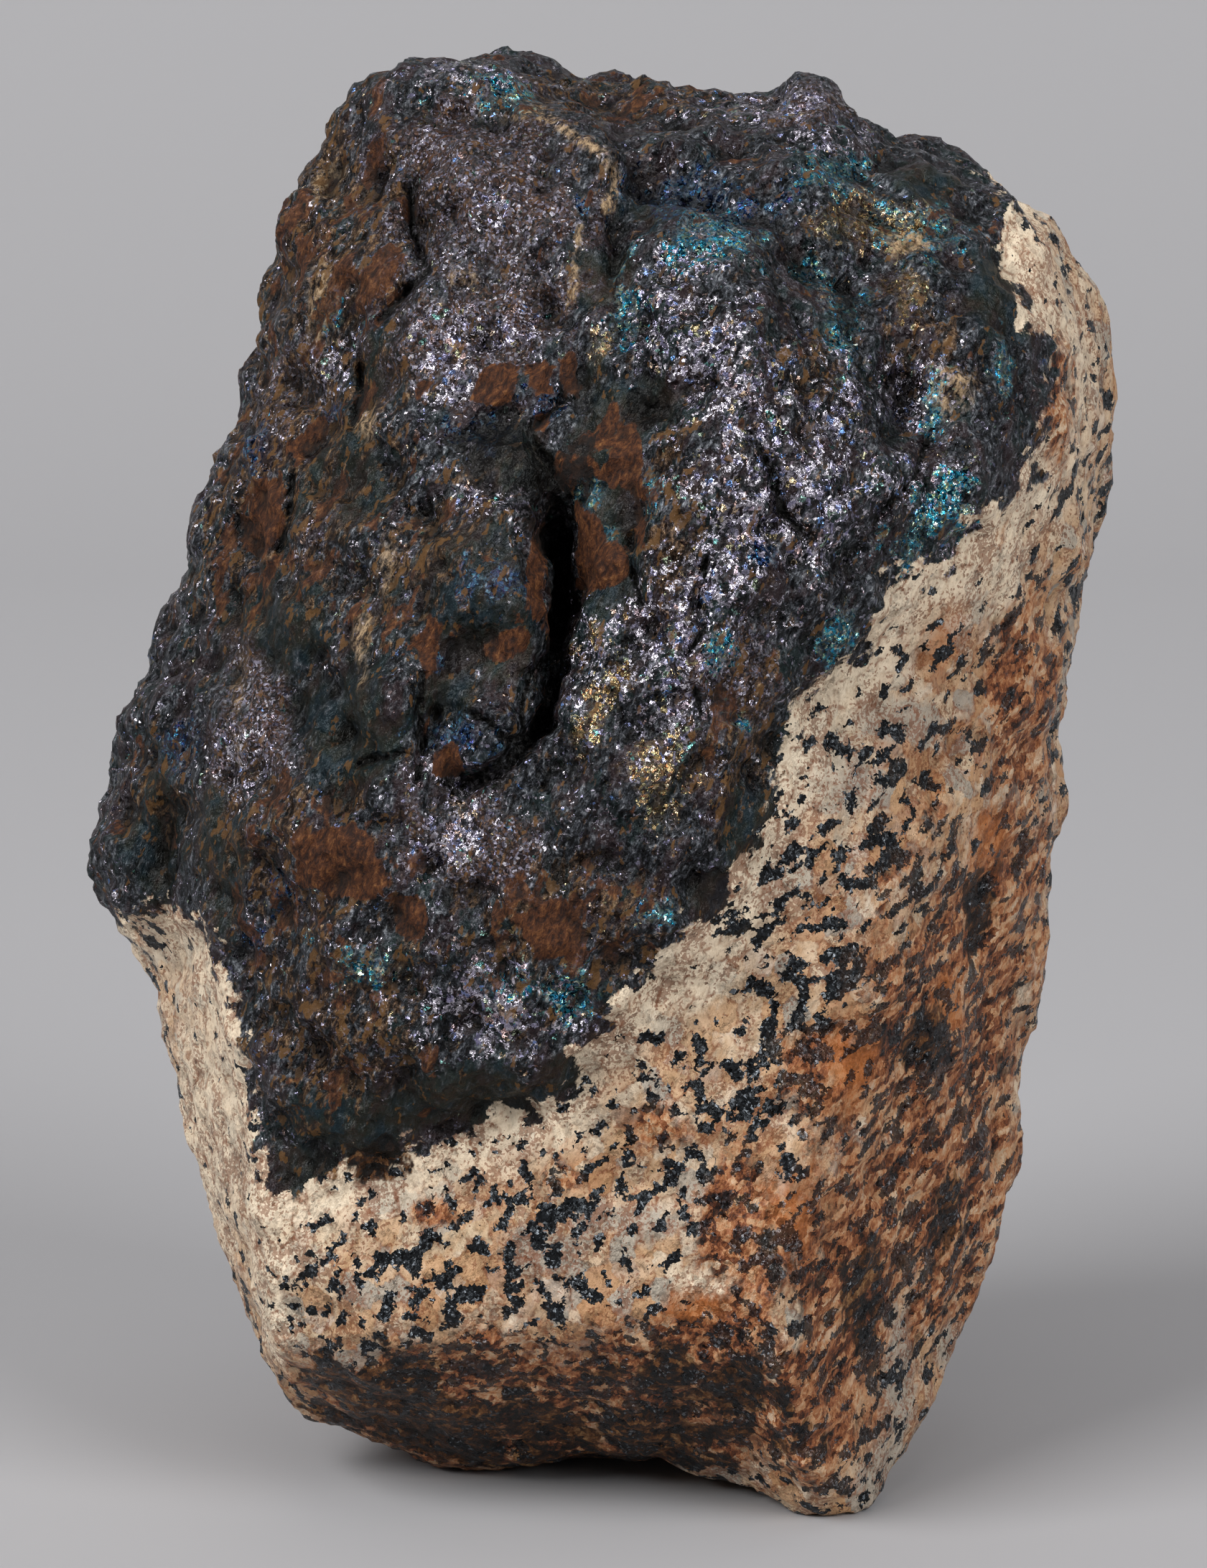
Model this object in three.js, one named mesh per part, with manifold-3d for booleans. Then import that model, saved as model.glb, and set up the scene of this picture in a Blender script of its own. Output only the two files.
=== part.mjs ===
// A hand specimen of peacock ore: one broken stone, standing upright on a small flat spot.
//
// A mass of bornite, tarnished dark, fills its upper front and left. Pale host rock, speckled black and
// stained brown, makes up the lower front, the right side and most of the back. Ore and host rock grew
// together, so the stone is one piece and one node.
//
// Millimetres, +Z up. The front faces -Y. The origin is under the middle of the stone, on the surface
// that it stands on.
//
// The shape is surveyed as a hillside is. A sheet stands upright through the stone, square to the line
// of sight of an eye point in front of it. A survey point is [across, up, depth]: its place on the sheet
// as the eye sees it, and the Y at which it really lies on that line of sight. The stone's edge, as the
// eye sees it, is one closed ring of such points. Break lines, such as crests, lips and corners, and
// single spots between them fill in the front and the back. Each side is triangulated over the same
// ring, which closes the skin. The skin is then divided evenly, eased, roughened as broken rock is,
// freed of needless points, and cut flat underneath.

import * as THREE from "three";
import { ImprovedNoise } from "three/addons/math/ImprovedNoise.js";
import { mergeVertices } from "three/addons/utils/BufferGeometryUtils.js";
import Module from "manifold-3d";

// The eye point and the sheet that it looks at.
const EYE_DISTANCE = 394; // from the sheet's centre
const EYE_ELEVATION = THREE.MathUtils.degToRad(10);
const SHEET_CENTRE = { up: 50.4, height: 47.6 }; // on the sheet, and above the surface the stone stands on

// The skin.
const LINE_STEP = 1.3; // spacing of points along the ring and the break lines
const EDGE = 2.0; // no edge is much longer before the skin is simplified
const FINEST = 0.17; // relief lower than this is left out of the solid
const EASE_PASSES = 3;
const EASE_SHARE = 0.3; // how far a pass moves a point towards the middle of its neighbours
const ROUGHNESS = [
  { size: 9.0, height: 0.75, start: 31.7 }, // lumps and hollows
  { size: 4.2, height: 0.5, start: 63.4 }, // broken ledges
];

// The stone's edge as the eye sees it, clockwise from the top left shoulder.
const RING = [
  // top: left shoulder, notch, far knob, saddle and right knob
  [-15.8, 100.7, 1], [-13.0, 101.3, 0], [-11.9, 100.4, 3], [-9.8, 100.4, 9], [-8.8, 101.6, 11],
  [-6.8, 102.3, 12], [-5.7, 101.9, 12], [-4.0, 101.1, 11], [-1.7, 100.5, 11], [1.3, 100.7, 12],
  [2.5, 100.0, 11], [4.7, 98.5, 8], [6.7, 98.6, 8], [12.0, 98.6, 6], [13.2, 100.0, 5],
  [14.0, 100.2, 4], [16.6, 99.2, 5], [18.7, 97.3, 6], [19.5, 96.2, 7],
  // right shoulder
  [22.0, 95.0, 8], [25.6, 93.4, 9], [28.8, 91.3, 8], [31.3, 90.7, 7], [32.2, 89.2, 7],
  [33.4, 86.9, 8], [34.7, 84.2, 9], [35.4, 81.9, 10], [35.8, 77.7, 10], [35.3, 72.4, 10],
  [34.9, 69.9, 10], [34.3, 66.7, 9],
  // right side
  [33.0, 63.9, 6], [33.2, 61.5, 4], [32.5, 57.3, 3], [31.9, 54.5, 3], [32.5, 52.7, 3],
  [32.3, 46.9, 3], [31.4, 43.2, 3], [30.9, 37.6, 2], [29.6, 32.4, 2], [29.3, 30.2, 1],
  [29.5, 26.3, 1], [28.9, 23.1, 0], [27.8, 19.5, -1], [27.2, 17.2, -2], [25.7, 14.2, -3],
  [24.9, 10.4, -5], [23.0, 6.5, -8], [21.2, 3.8, -10], [20.1, 2.4, -12],
  // foot and underside
  [19.1, 0.6, -14], [18.0, -0.5, -15.8], [15.5, -0.7, -16.4], [12.5, -0.1, -16.4], [11.4, 0.8, -15.4],
  [9.2, 2.0, -13], [6.2, 2.4, -12], [4.9, 3.2, -10], [2.5, 3.5, -9.5], [-4.0, 3.3, -9],
  [-6.7, 2.6, -7.5], [-11.5, 2.4, -6.5], [-13.0, 2.9, -7], [-14.6, 4.2, -8],
  // left side of the host rock
  [-17.4, 5.1, -8], [-19.7, 6.3, -8], [-21.8, 7.9, -8], [-23.1, 9.4, -7], [-23.8, 12.2, -6],
  [-25.3, 16.5, -5], [-26.8, 19.7, -4], [-28.5, 24.9, -3], [-29.2, 27.2, -2.5], [-30.6, 31.9, -2],
  [-30.8, 34.5, -1.5], [-30.9, 36.2, -1],
  // nose of the left lump, and up the left side of the ore
  [-31.8, 36.7, 0], [-33.1, 38.1, 0], [-34.7, 40.7, 1], [-35.4, 43.8, 1], [-35.5, 45.2, 1],
  [-35.3, 46.9, 1], [-34.2, 49.4, 1], [-33.3, 52.0, 0], [-34.0, 54.4, -1], [-33.1, 57.4, -1],
  [-30.5, 61.7, 0], [-29.3, 65.2, 0], [-28.2, 69.8, 0], [-27.2, 72.4, 0], [-25.1, 77.3, 1],
  [-24.9, 79.0, 1], [-23.9, 80.2, 1], [-23.5, 83.2, 1], [-22.7, 86.5, 2], [-23.1, 87.7, 2],
  [-22.6, 90.0, 2], [-21.1, 91.6, 2], [-20.4, 92.6, 1], [-19.5, 94.8, 1], [-18.3, 97.8, 1],
  [-17.2, 99.2, 1],
];

// The front: break lines, and single spots between them.
const FRONT_LINES = {
  // crest over the top of the left block, down its right edge and down beside the fissure
  crest: [[-12.6, 99.9, -2], [-10.0, 99.6, -4], [-7.0, 98.8, -6], [-4.0, 97.3, -8], [-2.0, 95.8, -10],
    [0.4, 93.8, -11.5], [0.9, 91.9, -12.5], [0.4, 90.4, -13], [-1.0, 88.0, -13.8], [-1.9, 85.0, -14.5],
    [-2.3, 83.0, -15], [-0.5, 81.0, -16.5], [1.2, 78.0, -18.5], [2.7, 74.5, -20.5], [3.3, 70.0, -22.4],
    [3.2, 65.0, -24.2], [3.0, 60.0, -26]],
  behindCrest: [[-9.2, 100.1, 6], [-6.0, 99.8, 4], [-3.4, 98.3, 1], [-1.2, 96.8, -2], [1.3, 94.8, -5],
    [2.3, 92.5, -8], [1.6, 90.0, -10.5], [0.5, 87.5, -13.6], [-0.1, 85.0, -14.8], [-0.2, 83.0, -15.8],
    [1.5, 80.0, -17.8]],
  saddleLip: [[2.2, 95.6, -4], [4.8, 95.6, -5], [8.0, 95.0, -5.5], [11.0, 94.0, -7]],
  hollowUnderLip: [[3.0, 93.2, -7], [6.0, 91.8, -9], [9.5, 90.5, -11], [12.5, 89.0, -12]],
  bumpBrow: [[1.4, 88.8, -13.6], [4.0, 88.8, -15], [8.0, 88.8, -15.5], [11.5, 88.2, -14.8]],
  rightKnobLip: [[13.2, 94.0, -7], [16.2, 94.2, -6], [18.4, 94.6, -2.5]],

  // left block: the ridge on its upper face, with a short slit on its left
  upperRidge: [[-12.6, 98.4, -4], [-12.2, 96.0, -6.5], [-12.0, 93.0, -9.5], [-11.6, 88.0, -12],
    [-11.0, 84.0, -14]],
  slit: [[-13.0, 92.0, -7], [-12.8, 89.6, -7.5], [-12.5, 87.4, -9.5]],
  leftOfSlit: [[-14.0, 92.2, -8], [-13.8, 89.6, -9], [-13.4, 87.0, -11]],

  // the fissure, which opens between the left and the right block
  fissureLeftLip: [[-4.2, 70.4, -21.5], [-5.5, 67.8, -23], [-5.5, 65.2, -24.2], [-4.9, 62.5, -25],
    [-4.3, 60.6, -25.4], [-3.9, 58.4, -25.4], [-3.9, 56.4, -25.6], [-5.2, 54.5, -25.8], [-7.6, 52.7, -26],
    [-10.4, 50.8, -26]],
  fissureLeftWall: [[-3.4, 69.8, -19], [-4.1, 67.6, -19.5], [-4.0, 65.2, -20], [-3.8, 62.5, -20.8],
    [-3.7, 60.4, -21.6]],
  fissureFloor: [[-2.5, 69.8, -16.5], [-2.5, 67.2, -13.5], [-2.6, 64.2, -12.5], [-2.9, 61.4, -14],
    [-3.3, 59.0, -16], [-3.4, 56.6, -18], [-4.7, 54.2, -20], [-7.1, 52.2, -22], [-10.2, 50.3, -23.5]],
  fissureRightLip: [[-1.9, 70.2, -20.5], [-1.7, 67.2, -21.5], [-1.9, 64.2, -22.4], [-2.3, 61.4, -23.2],
    [-2.7, 59.0, -23.9], [-2.9, 56.2, -24.3], [-4.2, 53.7, -24.6], [-6.6, 51.7, -24.9], [-9.4, 50.0, -25],
    [-11.4, 49.4, -25]],
  upright: [[-13.4, 58.5, -24.6], [-13.3, 54.5, -26], [-13.4, 50.2, -26]],
  uprightFoot: [[-12.4, 58.3, -23.6], [-12.2, 54.4, -23.4], [-12.4, 51.0, -23.8]],

  // right block: the furrow beside its bright bump, and the crack above the host rock
  furrow: [[13.6, 87.0, -11], [15.4, 84.8, -12.5], [16.4, 82.2, -13.5], [18.2, 80.0, -14.5],
    [20.0, 77.2, -15], [21.6, 74.8, -16], [23.4, 73.2, -17]],
  furrowNearSide: [[12.6, 86.0, -15.5], [14.2, 83.8, -17], [15.4, 80.6, -18.5], [17.6, 76.8, -19.5],
    [19.6, 73.4, -20.5]],
  rightShoulderEdge: [[31.6, 84.2, -3.5], [33.0, 79.6, -3], [33.2, 74.6, -3.5], [32.8, 69.6, -4],
    [32.7, 65.6, -3.5]],
  crack: [[23.6, 73.0, -17.5], [22.0, 70.8, -18.5], [19.6, 69.2, -20], [16.4, 66.6, -21.5],
    [12.6, 63.6, -23.5]],
  crackNearSide: [[21.0, 71.6, -21], [17.6, 69.4, -22.5], [13.0, 66.6, -24.5]],
  band: [[25.2, 70.0, -17.5], [22.0, 67.0, -19.5], [18.0, 62.6, -21], [14.0, 59.0, -22.5],
    [11.0, 55.0, -23.8]],

  // left lump, the step between it and the block, and the block's left edge
  stepFoot: [[-29.8, 52.0, -7.5], [-29.5, 47.6, -7], [-29.2, 43.6, -6.5], [-28.9, 41.0, -5.5]],
  blockEdge: [[-28.2, 55.6, -11], [-28.0, 51.0, -12.5], [-27.7, 46.2, -14.5], [-27.2, 42.0, -15.5],
    [-26.5, 38.4, -16.5], [-25.2, 34.0, -17.5], [-24.5, 30.6, -18.5], [-23.8, 28.0, -19]],
  lumpUnderside: [[-33.6, 40.8, -4.5], [-31.4, 40.6, -6], [-28.9, 40.6, -6.5]],
  lumpFoot: [[-32.4, 38.4, -1.5], [-30.4, 37.6, -3.5], [-28.4, 38.6, -6], [-27.4, 39.4, -10]],

  // where the ore overhangs the host rock
  lowerLip: [[-22.6, 28.6, -21.5], [-20.4, 28.2, -22.5], [-17.0, 29.6, -24], [-13.8, 30.8, -25],
    [-10.0, 31.0, -25.8], [-6.8, 30.4, -25.8], [-4.8, 30.6, -26], [-2.6, 32.6, -26.4],
    [0.6, 35.6, -26.8], [5.0, 39.4, -26.4]],
  lowerLipFoot: [[-22.4, 23.2, -19.6], [-19.4, 24.8, -20], [-16.0, 26.0, -20.6], [-12.0, 26.9, -21.2],
    [-8.0, 27.6, -21.8], [-4.8, 28.6, -22.6], [-2.2, 31.0, -23.8], [1.4, 34.6, -25.6]],

  // host rock: the corners around its front face, and the upper edge of its underside
  frontLeftCorner: [[-24.0, 24.0, -19.5], [-24.3, 20.0, -19.8], [-24.0, 16.0, -19.8],
    [-23.1, 12.0, -18.8], [-22.0, 9.8, -17]],
  frontRightCorner: [[22.0, 45.4, -19], [19.8, 36.0, -21.5], [17.0, 30.0, -23], [14.5, 24.0, -24],
    [13.0, 20.0, -24.6], [12.9, 15.0, -24.2], [12.8, 11.0, -23.6], [13.2, 7.4, -23], [13.5, 4.4, -21.5]],
  frontLowerEdge: [[-17.0, 10.5, -20.4], [-12.0, 11.4, -21.8], [-7.0, 12.4, -22.8], [-2.0, 13.4, -23.6],
    [3.0, 13.2, -24.2], [8.0, 11.6, -24.2], [11.0, 10.0, -24]],
  underEdge: [[-17.0, 7.4, -15], [-9.4, 7.2, -17], [-2.0, 7.6, -19], [5.6, 7.4, -20],
    [10.4, 6.4, -20.4], [11.8, 7.6, -20.4]],
};
const FRONT_SPOTS = {
  farTop: [[-4.8, 100.0, 9], [1.0, 98.8, 8], [4.5, 97.0, 4], [9.0, 97.0, 3], [12.0, 96.4, 2]],
  rightKnob: [[14.2, 98.2, 1], [16.2, 96.4, -3.5], [13.8, 96.0, -4]],
  upperLeft: [[-17.2, 96.0, -2.5], [-16.8, 92.4, -5], [-19.2, 91.4, -2], [-17.5, 88.0, -7.5],
    [-20.0, 93.4, -0.5]],
  upperLump: [[-20.8, 90.4, -4], [-21.6, 87.6, -4.2], [-19.6, 87.2, -6.5], [-22.0, 84.6, -3.8]],
  sparklingFace: [[-8.6, 94.6, -9.5], [-5.0, 92.0, -11.6], [-8.0, 88.6, -12.6], [-4.6, 86.6, -14],
    [-8.6, 83.0, -14.5]],
  leftFlank: [[-21.6, 82.0, -5.5], [-17.0, 82.4, -11], [-19.4, 77.4, -10.5], [-22.8, 75.2, -7],
    [-24.4, 70.2, -8], [-20.0, 70.6, -13], [-26.6, 65.0, -7], [-21.6, 64.0, -14.5], [-28.4, 60.2, -6.5],
    [-24.4, 59.4, -13], [-31.0, 55.4, -6]],
  blockFace: [[-12.6, 80.4, -15.5], [-7.4, 80.0, -16], [-14.8, 74.8, -16.5], [-9.4, 75.0, -18.6],
    [-4.6, 78.4, -17.6], [-4.6, 74.4, -19.4], [-1.8, 75.4, -18.8], [-17.0, 70.0, -17.5],
    [-12.0, 69.2, -20], [-8.4, 70.2, -22], [-14.6, 64.8, -20], [-9.6, 64.4, -23.8], [-20.0, 59.8, -17.5],
    [-17.6, 55.0, -21.5], [-12.6, 61.6, -23], [-8.2, 60.0, -25.2], [-23.2, 52.6, -18], [-15.2, 54.6, -24.6],
    [-9.5, 55.5, -24.2], [-7.4, 55.6, -24.8]],
  belowFissure: [[-3.6, 52.4, -25.4], [-6.4, 50.0, -25.6], [-9.6, 48.4, -25.6]],
  bump: [[4.0, 85.4, -18], [8.0, 84.4, -19.8], [10.6, 80.4, -21.3], [5.4, 80.6, -21], [11.6, 75.4, -22.3],
    [7.2, 74.4, -23], [4.6, 77.4, -20]],
  shoulder: [[17.4, 89.6, -8.5], [21.0, 87.4, -10.5], [24.6, 84.4, -13], [27.6, 79.8, -14],
    [25.6, 76.6, -16.5], [20.6, 82.6, -13.5], [18.6, 92.6, -5], [22.6, 93.0, -2], [26.0, 90.6, -3.5],
    [30.2, 88.0, -3], [30.2, 80.0, -9.5], [30.4, 74.8, -11], [28.4, 71.2, -14]],
  middle: [[6.0, 70.0, -24.4], [8.8, 66.6, -25.6], [5.8, 60.6, -27.2], [9.6, 61.0, -26],
    [3.4, 54.6, -27.8], [7.0, 52.4, -27], [0.4, 50.2, -28], [-5.6, 46.6, -26.8], [4.6, 44.4, -27],
    [8.6, 47.2, -25.6]],
  lump: [[-32.0, 55.0, -5.5], [-32.6, 50.0, -6.5], [-34.0, 45.8, -6], [-32.6, 42.6, -6],
    [-30.6, 49.0, -7.5], [-31.0, 44.2, -7.4]],
  lowerFace: [[-24.0, 47.0, -20], [-20.0, 47.4, -23], [-15.4, 47.6, -25.2], [-22.4, 41.0, -20.6],
    [-19.4, 42.6, -23.8], [-15.0, 42.8, -25.6], [-12.4, 44.4, -26], [-7.6, 42.0, -26.8], [-2.6, 42.0, -27.6],
    [-18.6, 37.0, -23.8], [-12.0, 36.6, -25.4], [-5.0, 36.2, -26.6], [1.0, 40.2, -27.4], [-22.4, 34.2, -21]],
  leftSide: [[-29.0, 35.0, -7], [-26.8, 32.4, -12], [-28.0, 27.6, -8], [-25.8, 27.4, -14],
    [-26.4, 22.4, -9], [-25.0, 17.4, -10], [-24.0, 13.8, -9]],
  hostFront: [[-17.0, 22.0, -21.2], [-9.4, 23.4, -22.4], [-2.0, 26.0, -23.4], [3.0, 30.6, -24.2],
    [8.0, 37.2, -24.4], [13.0, 45.0, -23], [15.6, 55.0, -20.5], [20.6, 60.0, -17.5], [25.6, 65.0, -14.5],
    [-17.0, 16.0, -22], [-7.0, 17.4, -23], [3.0, 20.0, -24], [8.0, 25.0, -24.2], [17.0, 40.0, -22]],
  hostUnder: [[-12.0, 4.4, -11], [-4.6, 4.8, -12.5], [2.0, 4.8, -14], [8.0, 3.8, -16.4]],
  toe: [[15.4, 2.0, -20], [17.4, 0.4, -17.6], [10.6, 2.4, -17], [14.0, 1.0, -18]],
  hostRight: [[28.0, 68.4, -12], [29.0, 63.0, -9], [29.6, 56.0, -7], [27.0, 52.4, -10.5],
    [29.8, 49.0, -4.5], [28.4, 44.6, -5.5], [25.0, 43.6, -12], [20.6, 30.0, -16.5], [25.4, 34.8, -9.5],
    [23.0, 22.4, -11.5], [27.0, 25.0, -4.5], [18.0, 17.4, -18], [22.0, 15.0, -10.5], [18.0, 10.0, -17],
    [17.0, 5.0, -18], [20.6, 10.0, -11.5]],
};

// The back, which is broken into four broad faces along a blunt spine, with a ledge across them.
const BACK_LINES = {
  spineHigh: [[-8.0, 96.0, 16], [-3.0, 88.0, 21.5], [2.0, 76.0, 25], [3.0, 62.0, 27]],
  spineLow: [[5.0, 56.0, 25], [6.0, 48.0, 25.5], [4.0, 36.0, 25], [1.0, 24.0, 22.5], [-1.0, 14.0, 18]],
  ledge: [[-24.0, 66.0, 15.5], [-16.0, 63.0, 21], [-8.0, 60.5, 25], [3.0, 59.5, 27], [14.0, 60.5, 26],
    [24.0, 57.0, 20.5]],
  ledgeFoot: [[-23.0, 63.6, 14.5], [-15.5, 60.8, 18.5], [-7.5, 58.3, 22.6], [3.0, 57.3, 25],
    [13.5, 58.3, 24], [23.0, 54.8, 19]],
};
const BACK_SPOTS = {
  upperLeft: [[-15.0, 95.0, 9], [-18.0, 84.0, 14], [-21.0, 72.0, 16], [-10.0, 78.0, 21], [-13.0, 70.0, 20.5]],
  leftEdge: [[-24.0, 72.0, 9.5], [-28.4, 60.0, 10], [-30.6, 50.0, 11], [-30.0, 42.0, 10]],
  lowerLeft: [[-24.0, 46.0, 17], [-12.0, 50.0, 23], [-20.0, 36.0, 20], [-26.0, 34.0, 10],
    [-23.6, 24.0, 9], [-10.0, 32.0, 23], [-16.0, 20.0, 17], [-19.0, 13.0, 9]],
  upperRight: [[10.0, 94.0, 12], [18.0, 90.0, 14], [26.0, 86.0, 14.5], [31.6, 78.0, 15.5],
    [13.0, 82.0, 20], [22.0, 72.0, 23], [30.0, 66.0, 17]],
  rightEdge: [[29.4, 58.0, 14.5], [28.8, 48.0, 15], [27.6, 38.0, 14], [25.6, 28.0, 12]],
  lowerRight: [[19.0, 45.0, 22], [16.0, 32.0, 21.5], [21.0, 22.0, 14], [12.0, 20.0, 18.5],
    [17.0, 12.0, 10]],
  // these lie just under the surface that the stone stands on, which cuts them flat
  flatSpot: [[-9.6, 3.8, 0], [-8.4, 5.6, 7], [-1.0, 7.0, 12.5], [7.0, 6.4, 10.5], [11.0, 4.8, 4],
    [14.0, 2.0, -7], [2.0, 4.6, 3]],
};

const CUT_REACH = 120; // the box that cuts the flat spot reaches well past the stone on every side

/** The point of the stone that the eye sees at [across, up] on the sheet, at the given depth. */
function surveyed([across, up, depth]) {
  const sine = Math.sin(EYE_ELEVATION);
  const cosine = Math.cos(EYE_ELEVATION);
  const eye = new THREE.Vector3(0, -EYE_DISTANCE * cosine, SHEET_CENTRE.height + EYE_DISTANCE * sine);
  const rise = up - SHEET_CENTRE.up;
  const onSheet = new THREE.Vector3(across, rise * sine, SHEET_CENTRE.height + rise * cosine);
  return eye.lerp(onSheet, (depth - eye.y) / (onSheet.y - eye.y));
}

/** Points at even steps along a line of survey points, its given points among them. */
function stepped(line, closed = false) {
  const points = [];
  const count = closed ? line.length : line.length - 1;
  for (let i = 0; i < count; i++) {
    const from = line[i];
    const to = line[(i + 1) % line.length];
    const steps = Math.max(1, Math.round(Math.hypot(to[0] - from[0], to[1] - from[1]) / LINE_STEP));
    for (let s = 0; s < steps; s++) {
      points.push(from.map((value, k) => value + ((to[k] - value) * s) / steps));
    }
  }
  if (!closed) points.push(line[line.length - 1]);
  return points;
}

/** The circle through three points of the sheet, which a Delaunay triangle keeps empty. */
function circleThrough(points, corners) {
  const [[ax, ay], b, c] = corners.map((corner) => points[corner]);
  const [bx, by] = [b[0] - ax, b[1] - ay];
  const [cx, cy] = [c[0] - ax, c[1] - ay];
  const d = 2 * (bx * cy - by * cx);
  const x = (cy * (bx * bx + by * by) - by * (cx * cx + cy * cy)) / d;
  const y = (bx * (cx * cx + cy * cy) - cx * (bx * bx + by * by)) / d;
  return { corners, x: ax + x, y: ay + y, radius: Math.hypot(x, y) };
}

/** Delaunay triangles over points of the sheet, as index triples, by adding one point at a time. */
function triangulated(points) {
  const far = 1e4; // three far corners hold every point, and are dropped at the end
  const all = [...points, [-far, -far], [far, -far], [0, far]];
  const count = points.length;
  let triangles = [circleThrough(all, [count, count + 1, count + 2])];
  points.forEach(([x, y], added) => {
    const hole = new Map(); // edges around the triangles whose circles hold the added point
    triangles = triangles.filter((triangle) => {
      if (Math.hypot(x - triangle.x, y - triangle.y) > triangle.radius) return true;
      triangle.corners.forEach((from, k) => {
        const to = triangle.corners[(k + 1) % 3];
        if (!hole.delete(to + "," + from)) hole.set(from + "," + to, [from, to, added]);
      });
      return false;
    });
    triangles.push(...[...hole.values()].map((corners) => circleThrough(all, corners)));
  });
  return triangles.map(({ corners }) => corners).filter((t) => t.every((corner) => corner < count));
}

/** Whether a place on the sheet lies inside the ring. */
function inRing([x, y], ring) {
  let inside = false;
  ring.forEach(([ax, ay], i) => {
    const [bx, by] = ring[(i + 1) % ring.length];
    if (ay > y !== by > y && x < ax + ((bx - ax) * (y - ay)) / (by - ay)) inside = !inside;
  });
  return inside;
}

/** One side of the stone: its own points, and triangles that face the eye, over the ring and them. */
function side(ring, lines, spots) {
  const inner = [...Object.values(lines).flatMap((line) => stepped(line)), ...Object.values(spots).flat()];
  const points = [...ring, ...inner];
  const middle = (t) => [0, 1].map((k) => (points[t[0]][k] + points[t[1]][k] + points[t[2]][k]) / 3);
  const triangles = triangulated(points)
    .filter((t) => inRing(middle(t), ring))
    .map((t) => {
      const [a, b, c] = t.map((corner) => points[corner]);
      const turn = (b[0] - a[0]) * (c[1] - a[1]) - (b[1] - a[1]) * (c[0] - a[0]);
      return turn > 0 ? t : [t[0], t[2], t[1]];
    });
  return { inner, triangles };
}

/** The closed skin: front and back share the ring's points. */
function closedSkin() {
  const ring = stepped(RING, true);
  const front = side(ring, FRONT_LINES, FRONT_SPOTS);
  const back = side(ring, BACK_LINES, BACK_SPOTS);
  const behind = (corner) => (corner < ring.length ? corner : corner + front.inner.length);
  const away = back.triangles.map(([a, b, c]) => [a, c, b].map(behind));
  const points = [...ring, ...front.inner, ...back.inner].map(surveyed);
  const geometry = new THREE.BufferGeometry().setFromPoints(points);
  return geometry.setIndex([...front.triangles, ...away].flat());
}

/** A solid from a closed skin. */
function solidOf(wasm, geometry) {
  const bare = new THREE.BufferGeometry().setAttribute("position", geometry.getAttribute("position"));
  bare.setIndex(geometry.index);
  const merged = mergeVertices(bare, 1e-4);
  return new wasm.Manifold(
    new wasm.Mesh({
      numProp: 3,
      vertProperties: merged.attributes.position.array,
      triVerts: new Uint32Array(merged.index.array),
    }),
  );
}

/** A geometry from a solid. */
function geometryOf(solid) {
  const mesh = solid.getMesh();
  const geometry = new THREE.BufferGeometry();
  geometry.setAttribute("position", new THREE.BufferAttribute(mesh.vertProperties, 3));
  geometry.setIndex(new THREE.BufferAttribute(mesh.triVerts, 1));
  geometry.computeVertexNormals();
  return geometry;
}

/** Rounds the skin's corners a little, and evens its triangles. */
function ease(geometry) {
  const place = geometry.getAttribute("position");
  const corners = geometry.index.array;
  for (let pass = 0; pass < EASE_PASSES; pass++) {
    // In a closed skin each edge runs once each way, so it gives each of its ends the other one once.
    const neighbours = Array.from({ length: place.count }, () => ({ sum: new THREE.Vector3(), count: 0 }));
    corners.forEach((from, i) => {
      const to = i % 3 === 2 ? corners[i - 2] : corners[i + 1];
      neighbours[from].sum.add(new THREE.Vector3().fromBufferAttribute(place, to));
      neighbours[from].count += 1;
    });
    neighbours.forEach(({ sum, count }, i) => {
      const point = new THREE.Vector3().fromBufferAttribute(place, i);
      point.lerp(sum.divideScalar(count), EASE_SHARE);
      place.setXYZ(i, ...point);
    });
  }
  geometry.computeVertexNormals();
}

/** Moves each point along the skin's normal, as broken rock is rough. */
function roughen(geometry) {
  const noise = new ImprovedNoise();
  const place = geometry.getAttribute("position");
  const normal = geometry.getAttribute("normal");
  for (let i = 0; i < place.count; i++) {
    const point = new THREE.Vector3().fromBufferAttribute(place, i);
    const outward = new THREE.Vector3().fromBufferAttribute(normal, i);
    for (const { size, height, start } of ROUGHNESS) {
      const [x, y, z] = place.array.subarray(i * 3, i * 3 + 3);
      const rise = height * noise.noise(x / size + start, y / size, z / size - start);
      point.addScaledVector(outward, rise);
    }
    place.setXYZ(i, ...point);
  }
}

/** Cuts the stone flat at the surface that it stands on, and centres it over the origin. */
function cutFlat(wasm, solid) {
  const below = new THREE.BoxGeometry(CUT_REACH, CUT_REACH, CUT_REACH);
  below.deleteAttribute("normal");
  below.deleteAttribute("uv");
  below.translate(0, 0, -CUT_REACH / 2);
  const stone = geometryOf(solid.subtract(solidOf(wasm, below)));
  stone.computeBoundingBox();
  const middle = stone.boundingBox.getCenter(new THREE.Vector3());
  return stone.translate(-middle.x, -middle.y, 0);
}

/** The stone's whole shape. */
async function stoneShape() {
  const wasm = await Module();
  wasm.setup();
  const skin = geometryOf(solidOf(wasm, closedSkin()).refineToLength(EDGE));
  ease(skin);
  roughen(skin);
  return cutFlat(wasm, solidOf(wasm, skin).simplify(FINEST));
}

// Tarnished bornite, which makes most of what the front shows: dark, and half metallic.
const tarnishedOre = new THREE.MeshStandardMaterial({ color: 0x4a4a50, roughness: 0.5, metalness: 0.5 });

const stone = new THREE.Mesh(await stoneShape(), tarnishedOre);
stone.name = "stone";

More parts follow.
